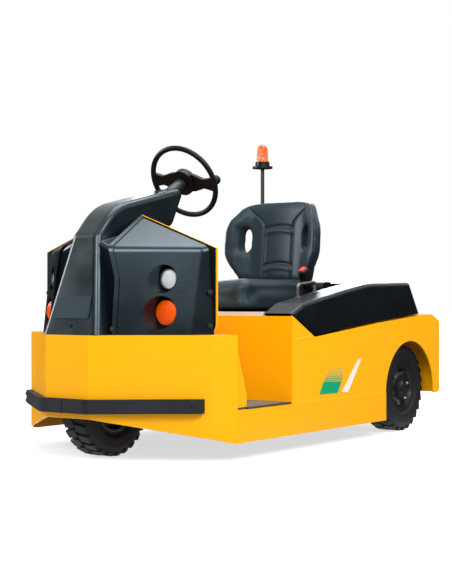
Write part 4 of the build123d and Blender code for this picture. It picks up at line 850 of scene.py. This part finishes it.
block_tree, given, result = new_tree(
    "block", Length="Float", Width="Float", Height="Float", Taper="Float", Corner_Turn="Float",
    Material="Material")
prism = wire(
    block_tree, "GeometryNodeMeshCone", Vertices=4,
    Radius_Top=work_out(block_tree, "MULTIPLY", given["Taper"], HALF_DIAGONAL),
    Radius_Bottom=HALF_DIAGONAL, Depth=1.0)
corner = wire(block_tree, "ShaderNodeCombineXYZ", Z=given["Corner Turn"])
squared = wire(block_tree, "GeometryNodeTransform", Geometry=prism["Mesh"], Rotation=corner["Vector"])
sides = wire(block_tree, "ShaderNodeCombineXYZ", X=given["Length"], Y=given["Width"], Z=given["Height"])
bar = wire(block_tree, "GeometryNodeTransform", Geometry=squared["Geometry"], Scale=sides["Vector"])
plant(block_tree, given, result, bar["Geometry"])
print("trees", fastener_tree.name, block_tree.name)

# %% [markdown]
# The tyres are solid rubber on pressed rims. The CAD tyre is a faceted stand-in, so each one is turned
# again here with stepped rings in its sidewalls, and its block tread is planted round it, one row on each
# shoulder.

# %% Tyres
TYRE_R = 0.1935
TREAD_BASE = 0.1842
LUG_COUNT = 26
LUG_SLANT = math.radians(14)
LUG_SINK = 0.003
LUG_ASIDE = 0.026
half_profile = [
    (0.0475, 0.1025), (0.0478, 0.1105), (0.0500, 0.1130), (0.0545, 0.1190), (0.0570, 0.1262),
    (0.0556, 0.1275), (0.0556, 0.1305), (0.0572, 0.1318), (0.0572, 0.1480), (0.0560, 0.1492),
    (0.0560, 0.1515), (0.0570, 0.1528), (0.0562, 0.1640), (0.0535, 0.1740), (0.0480, 0.1810),
    (0.0400, TREAD_BASE),
]
tyre_loop = half_profile + [(-across, out) for across, out in reversed(half_profile)]
wheels = (
    ("front_tyre", "front_wheel"),
    ("rear_tyre_left", "rear_wheel_left"),
    ("rear_tyre_right", "rear_wheel_right"),
)


def round_axle(share):
    """The outward direction at a share of a turn round a wheel's axle."""
    return Vector((0, math.sin(math.tau * share), math.cos(math.tau * share)))


for node, body in wheels:
    low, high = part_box(node)
    axle = (low + high) / 2
    axle[2] = TYRE_R
    form = bmesh.new()
    turn(form, tyre_loop, axle, (1, 0, 0), steps=120, ring=True)
    piece_of(form, node + "_carcass", body, "tyre_rubber", node, sharp=28)
    spots = []
    for lug in range(LUG_COUNT):
        for hand, shift in ((1, 0.75), (-1, 0.25)):
            out = round_axle((lug + shift) / LUG_COUNT)
            place = axle + out * (TREAD_BASE - LUG_SINK) + Vector((hand * LUG_ASIDE, 0, 0))
            spots.append(at(place, out, -hand * LUG_SLANT))
    planted(node + "_lugs", block_tree, spots, body, "tyre_rubber",
            Length=0.052, Width=0.0345, Height=0.0114, Taper=0.88, Corner_Turn=SQUARE)

# %% [markdown]
# Six flanged nuts hold each rear wheel, on the sloping part of its disc. They turn with the wheel, so
# each set rides on its own body. A ring of small nuts would be tedious by hand, and the fastener tree
# makes it one call.

# %% Wheel nuts
NUT_COUNT = 6
NUT_CIRCLE = 0.066
NUT_OFFSET = 0.0305
NUT_OUT, NUT_LEAN = 0.9, 0.435
for node, body in wheels[1:]:
    low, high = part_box(node)
    axle = (low + high) / 2
    hand = math.copysign(1.0, axle[0])
    spots = []
    for nut in range(NUT_COUNT):
        out = round_axle((nut + 0.25) / NUT_COUNT)
        place = Vector((axle[0] + hand * NUT_OFFSET, axle[1], TYRE_R)) + out * NUT_CIRCLE
        spots.append(at(place, Vector((hand * NUT_OUT, 0, 0)) + out * NUT_LEAN))
    planted(body + "_nuts", fastener_tree, spots, body, "bright_steel",
            Head_Radius=0.0085, Head_Height=0.009, Head_Sides=6, Core_Share=0.55, Core_Rise=0.004,
            Washer_Radius=0.0105, Washer_Height=0.002)

# %% [markdown]
# The cowl is screwed to the bulkhead and the deck, and the bumper ends are bolted to the nose plate. The
# heads lie in the planes of the faces that they hold, so each spot is a place and the face's own normal.

# %% Screws and bolts
NOSE = 0.6735
CHEEK_NORMAL = (0.87, -0.48, 0.07)
WING_NORMAL = (0.644, -0.756, 0.117)
BUMPER_NORMAL = (0.625, -0.7806, 0)
BOLT_SPIN = 0.3


def on_side(hand, place, normal, spin=0.0):
    """A spot on the left side of the body, or its mirror image on the right."""
    x, y, z = place
    return at((hand * x, y - NOSE, z), (hand * normal[0], normal[1], normal[2]), spin)


screws = []
bolts = []
for hand in (1, -1):
    for height in (0.623, 0.498):
        screws.append(on_side(hand, (0.412, -0.025, height), CHEEK_NORMAL))
    screws.append(on_side(hand, (0.155, -0.278, 0.488), WING_NORMAL))
    for height in (0.193, 0.219):
        bolts.append(on_side(hand, (0.415, -0.1405, height), BUMPER_NORMAL, BOLT_SPIN))
screws.append(on_side(1, (0, -0.339, 0.499), (0, -1, 0.06)))
planted("cowl_screws", fastener_tree, screws, "chassis", "frame_black",
        Head_Radius=0.0065, Head_Height=0.0035, Head_Sides=20, Core_Share=0.5, Core_Rise=-0.002,
        Washer_Radius=0.0095, Washer_Height=0.0014)
planted("bumper_bolts", fastener_tree, bolts, "chassis", "frame_black",
        Head_Radius=0.0075, Head_Height=0.005, Head_Sides=6, Core_Share=0.6, Core_Rise=0.0006,
        Washer_Radius=0.011, Washer_Height=0.0016)
feet = [at((0.410, y, z), (0, -0.163, 0.987)) for y, z in ((-0.0935, 0.6015), (0.0365, 0.6225))]
planted("rod_feet", fastener_tree, feet, "hood", "bright_steel",
        Head_Radius=0.0095, Head_Height=0.006, Head_Sides=24, Core_Share=0.7, Core_Rise=0.001,
        Washer_Radius=0.016, Washer_Height=0.0025)

# %% [markdown]
# A thin black gasket lies between the cowl and the yellow bulkhead behind it. It follows the bulkhead's
# outline a few millimetres inside its upright edges and closer still along the top, so that a slim yellow
# line frames the cowl.

# %% Cowl gasket
GASKET_INSET = 0.004
GASKET_TOP_INSET = 0.0015
GASKET_SINK, GASKET_STAND = 0.0005, 0.002
low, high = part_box("dash_bulkhead")
edge = sorted({(round(v.co.x, 4), round(v.co.z, 4)) for v in nodes["dash_bulkhead"].data.vertices})


def turned_left(first, second, third):
    """True where a path through three points bends to the left."""
    return (second[0] - first[0]) * (third[1] - first[1]) > (second[1] - first[1]) * (third[0] - first[0])


def half_hull(points):
    """The lower or the upper half of the outline round a set of points, by the monotone chain."""
    chain = []
    for point in points:
        while len(chain) > 1 and not turned_left(chain[-2], chain[-1], point):
            chain.pop()
        chain.append(point)
    return chain[:-1]


outline = []
for x, z in half_hull(edge) + half_hull(edge[::-1]):
    inner_z = low[2] + (z - low[2]) * (1 - GASKET_TOP_INSET / (high[2] - low[2]))
    outline.append((x * (1 - GASKET_INSET / high[0]), inner_z))
form = bmesh.new()
rows = []
for y in (low[1] + GASKET_SINK, low[1] - GASKET_STAND):
    rows.append([form.verts.new((x, y, z)) for x, z in outline])
    form.faces.new(rows[-1])
band_between(form, *rows)
piece_of(form, "cowl_gasket", "chassis", "cowl_black")

# %% [markdown]
# The driver stands and walks on raised lozenges rolled into the floor plate. Neighbours point opposite
# ways, which is what keeps a boot from slipping in any direction. The pedals have ribs of rubber for the
# same reason.

# %% Floor lozenges and pedal ribs
LOZENGE_PITCH = 0.03
LOZENGE_ROWS = 9
LOZENGE_REACH = 16
LOZENGE_SINK = 0.0004
FLOOR_FRONT = -0.58
RIB_COUNT = 7
RIB_PITCH = 0.0145
RIB_SINK = 0.001
PEDAL_MIDDLES = ((-0.06, -0.5797, 0.3693), (-0.2, -0.5797, 0.3693))
floor_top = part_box("floor_plate")[1][2]
treads = []
for row in range(LOZENGE_ROWS):
    for column in range(-LOZENGE_REACH, LOZENGE_REACH + 1):
        place = (column * LOZENGE_PITCH, FLOOR_FRONT + row * LOZENGE_PITCH, floor_top - LOZENGE_SINK)
        treads.append(at(place, (0, 0, 1), math.radians(45 if (row + column) % 2 else -45)))
worn = finish("worn_ridges", (0.2, 0.17, 0.15), (0.1, 0.085, 0.075), (0.35, 0.5), 500, 0.1, mottle_scale=14)
planted("floor_lozenges", block_tree, treads, "chassis", "floor_dark", paint=worn,
        Length=0.029, Width=0.0095, Height=0.0026, Taper=0.7, Corner_Turn=LOZENGE)
pedal_face = Vector((0, 0.9457, 0.3251))
pedal_up = Vector((0, -0.3251, 0.9457))
ribs = []
for pedal in PEDAL_MIDDLES:
    for rib in range(RIB_COUNT):
        place = Vector(pedal) + pedal_up * (rib - RIB_COUNT // 2) * RIB_PITCH - pedal_face * RIB_SINK
        ribs.append(at(place, pedal_face))
planted("pedal_ribs", block_tree, ribs, "chassis", "bumper_rubber",
        Length=0.068, Width=0.0075, Height=0.004, Taper=0.8, Corner_Turn=SQUARE)

# %% [markdown]
# Two slanted bands are painted on each side ahead of the rear wheel: a green one that breaks up into dots
# as it rises, and a slim white one. They are thin films that stand a hair off the panel, cut to the same
# slant.

# %% Side bands
SIDE_X = 0.518
FILM = 0.0007
GREEN_OUTLINE = [(0.570, 0.212), (0.712, 0.210), (0.746, 0.257), (0.602, 0.261)]
WHITE_OUTLINE = [(0.746, 0.212), (0.798, 0.209), (0.908, 0.343), (0.884, 0.344)]
DOT_ROWS = 11
DOT_COLUMNS = 15
DOT_SHRINK = 0.72
FADE_LEFT, FADE_LEFT_LEAN = 0.602, 0.077
FADE_RIGHT, FADE_RIGHT_LEAN = 0.746, 0.035
FADE_FOOT, FADE_HEIGHT = 0.2605, 0.083
band_green = finish(
    "band_green", (0.0, 0.36, 0.16), (0.0, 0.33, 0.145), (0.3, 0.4), 700, 0.03, specular=0.3)
band_white = finish(
    "band_white", (0.86, 0.80, 0.74), (0.8, 0.74, 0.68), (0.3, 0.4), 700, 0.03, specular=0.3)
for name, outline, paint in (
        ("green_bands", GREEN_OUTLINE, band_green), ("white_bands", WHITE_OUTLINE, band_white)):
    form = bmesh.new()
    for hand in (1, -1):
        rows = []
        for x in (SIDE_X - FILM, SIDE_X + FILM):
            rows.append([form.verts.new((hand * x, y - NOSE, z)) for y, z in outline])
            form.faces.new(rows[-1])
        band_between(form, *rows)
    piece_of(form, name, "chassis", "body_yellow", paint=paint)
dots = []
for row in range(DOT_ROWS):
    rise = (row + 0.5) / DOT_ROWS
    left, right = FADE_LEFT + FADE_LEFT_LEAN * rise, FADE_RIGHT + FADE_RIGHT_LEAN * rise
    for column in range(DOT_COLUMNS):
        y = left + (right - left) * (column + (0.25 if row % 2 else 0.75)) / DOT_COLUMNS
        for hand in (1, -1):
            place = (hand * (SIDE_X - FILM), y - NOSE, FADE_FOOT + FADE_HEIGHT * rise)
            dots.append(at(place, (hand, 0, 0), size=1.0 - DOT_SHRINK * rise))
planted("band_dots", fastener_tree, dots, "chassis", "body_yellow", paint=band_green,
        Head_Radius=0.0038, Head_Height=0.0004, Head_Sides=10, Core_Share=0.5, Core_Rise=0.0001,
        Washer_Radius=0.0042, Washer_Height=0.0009)

# %% [markdown]
# The sill stands a little proud of the body side above it. A slim bead of painted sealer fills that step,
# and another runs along the fold ahead of the hood. Both slope outwards, so each catches the overhead
# light as a pale line.

# %% Side beads
BEAD_RISE = 0.008
BEAD_REACH = 0.0018
SILL_BEAD = ((-0.29, 0.1872), (0.43, 0.1872))
HOOD_BEAD = ((-0.29, 0.4345), (-0.165, 0.4456))
form = bmesh.new()
for bead in (SILL_BEAD, HOOD_BEAD):
    for hand in (1, -1):
        rows = []
        for y, z in bead:
            profile = ((SIDE_X - FILM, z), (SIDE_X + BEAD_REACH, z), (SIDE_X - FILM, z + BEAD_RISE))
            rows.append([form.verts.new((hand * x, y, height)) for x, height in profile])
            form.faces.new(rows[-1])
        band_between(form, *rows)
piece_of(form, "side_beads", "chassis", "body_yellow")

# %% [markdown]
# The belt buckle gets a rounded shell with a red press button. The battery under the hood has a filler
# cap on every cell and bright links between the cells, which show when the hood is up.

# %% Buckle and battery caps
BUCKLE_LEAN = Matrix.Rotation(math.radians(28), 4, "X")
CELL_ROWS = 6
CELL_COLUMNS = 4
CAP_SINK = 0.0005
LINK_ASIDE = 0.045


def leaning_block(form, size, place, radius):
    """Adds a leaning block with rounded edges."""
    corners = bmesh.ops.create_cube(form, size=1.0)["verts"]
    bmesh.ops.scale(form, vec=size, verts=corners)
    edges = list({edge for vertex in corners for edge in vertex.link_edges})
    bevelled = bmesh.ops.bevel(form, geom=edges, offset=radius, segments=4, affect="EDGES", profile=0.5)
    bmesh.ops.transform(form, matrix=Matrix.Translation(place) @ BUCKLE_LEAN, verts=bevelled["verts"])


low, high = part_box("belt_buckle")
buckle_x = (low[0] + high[0]) / 2 + 0.004
form = bmesh.new()
leaning_block(form, (0.034, 0.048, 0.086), (buckle_x, low[1] + 0.022, high[2] - 0.03), 0.009)
piece_of(form, "buckle_shell", "hood", "wheel_black", sharp=60)
button_red = finish("button_red", (0.72, 0.03, 0.03), (0.6, 0.02, 0.02), (0.35, 0.45), 900, 0.08)
form = bmesh.new()
leaning_block(form, (0.022, 0.034, 0.016), (buckle_x, low[1] + 0.001, high[2] + 0.0065), 0.004)
piece_of(form, "buckle_button", "hood", "lens_red", paint=button_red, sharp=60)
low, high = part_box("battery")
cell_length = (high[1] - low[1]) / CELL_ROWS
cell_width = (high[0] - low[0]) / CELL_COLUMNS
lid = high[2] - CAP_SINK
caps = []
links = []
for row in range(CELL_ROWS):
    y = low[1] + cell_length * (row + 0.5)
    for column in range(CELL_COLUMNS):
        x = low[0] + cell_width * (column + 0.5)
        caps.append(at((x, y, lid), (0, 0, 1)))
        if row < CELL_ROWS - 1:
            links.append(at((x - LINK_ASIDE, y + cell_length / 2, lid), (0, 0, 1)))
planted("cell_caps", fastener_tree, caps, "chassis", "hood_black",
        Head_Radius=0.017, Head_Height=0.012, Head_Sides=16, Core_Share=0.4, Core_Rise=-0.002,
        Washer_Radius=0.023, Washer_Height=0.003)
planted("cell_links", block_tree, links, "chassis", "bright_steel",
        Length=0.024, Width=0.098, Height=0.008, Taper=0.85, Corner_Turn=SQUARE)

# %% [markdown]
# The seat's seams are topstitched: a row of short threads runs beside each groove. A ray from outside
# finds the vinyl under each stitch, so that every thread lies on the shaped surface and leans with it.

# %% Stitches
STITCH_PITCH = 0.0085
STITCH_ASIDE = 0.0095
STITCH_SINK = 0.0003
ABOVE_SEAT = 0.6
INTO_BACK = Vector((0, 1, 0))
DOWNWARD = Vector((0, 0, -1))
thread = finish(
    "seat_thread", (0.05, 0.06, 0.066), (0.035, 0.043, 0.048), (0.6, 0.75), 900, 0.2, specular=0.3)
bpy.context.view_layer.update()


def stitch_row(pad, path, look):
    """Stitches along a path of points, dropped onto a pad in one direction."""
    spots = []
    for first, second in zip(path, path[1:]):
        found, place, normal, _ = pad.ray_cast(first - look, look)
        step = second - first
        rise = step.z if look.y else step.y
        if found and normal.dot(look) < -0.5:
            spots.append(at(place - normal * STITCH_SINK, normal, math.atan2(rise, step.x)))
    return spots


def steps_between(start, end):
    """Even steps of about one stitch from start to end."""
    count = int(abs(end - start) / STITCH_PITCH)
    return [start + (end - start) * step / count for step in range(count + 1)]


threads = []
for hand in (1, -1):
    heights = steps_between(BACK_LOW + 0.02, BACK_TOP - 0.05)
    edge_path = [Vector((hand * (panel_edge(z) + STITCH_ASIDE), 0, z)) for z in heights]
    threads += stitch_row(backrest, edge_path, INTO_BACK)
    lengths = steps_between(CROSS_SEAM_Y, CUSHION_REAR - 0.06)
    seam_path = [Vector((hand * (BOLSTER_SEAM_X + STITCH_ASIDE), y, ABOVE_SEAT)) for y in lengths]
    threads += stitch_row(cushion, seam_path, DOWNWARD)
for seam_z in (UPPER_SEAM_Z, LOWER_SEAM_Z):
    widths = steps_between(-PANEL_HALF + 0.006, PANEL_HALF - 0.006)
    bow = [Vector((x, 0, cross_seam(x, seam_z) + STITCH_ASIDE)) for x in widths]
    threads += stitch_row(backrest, bow, INTO_BACK)
planted("seat_stitches", block_tree, threads, "hood", "seat_vinyl", paint=thread,
        Length=0.0058, Width=0.0015, Height=0.0012, Taper=0.6, Corner_Turn=SQUARE)
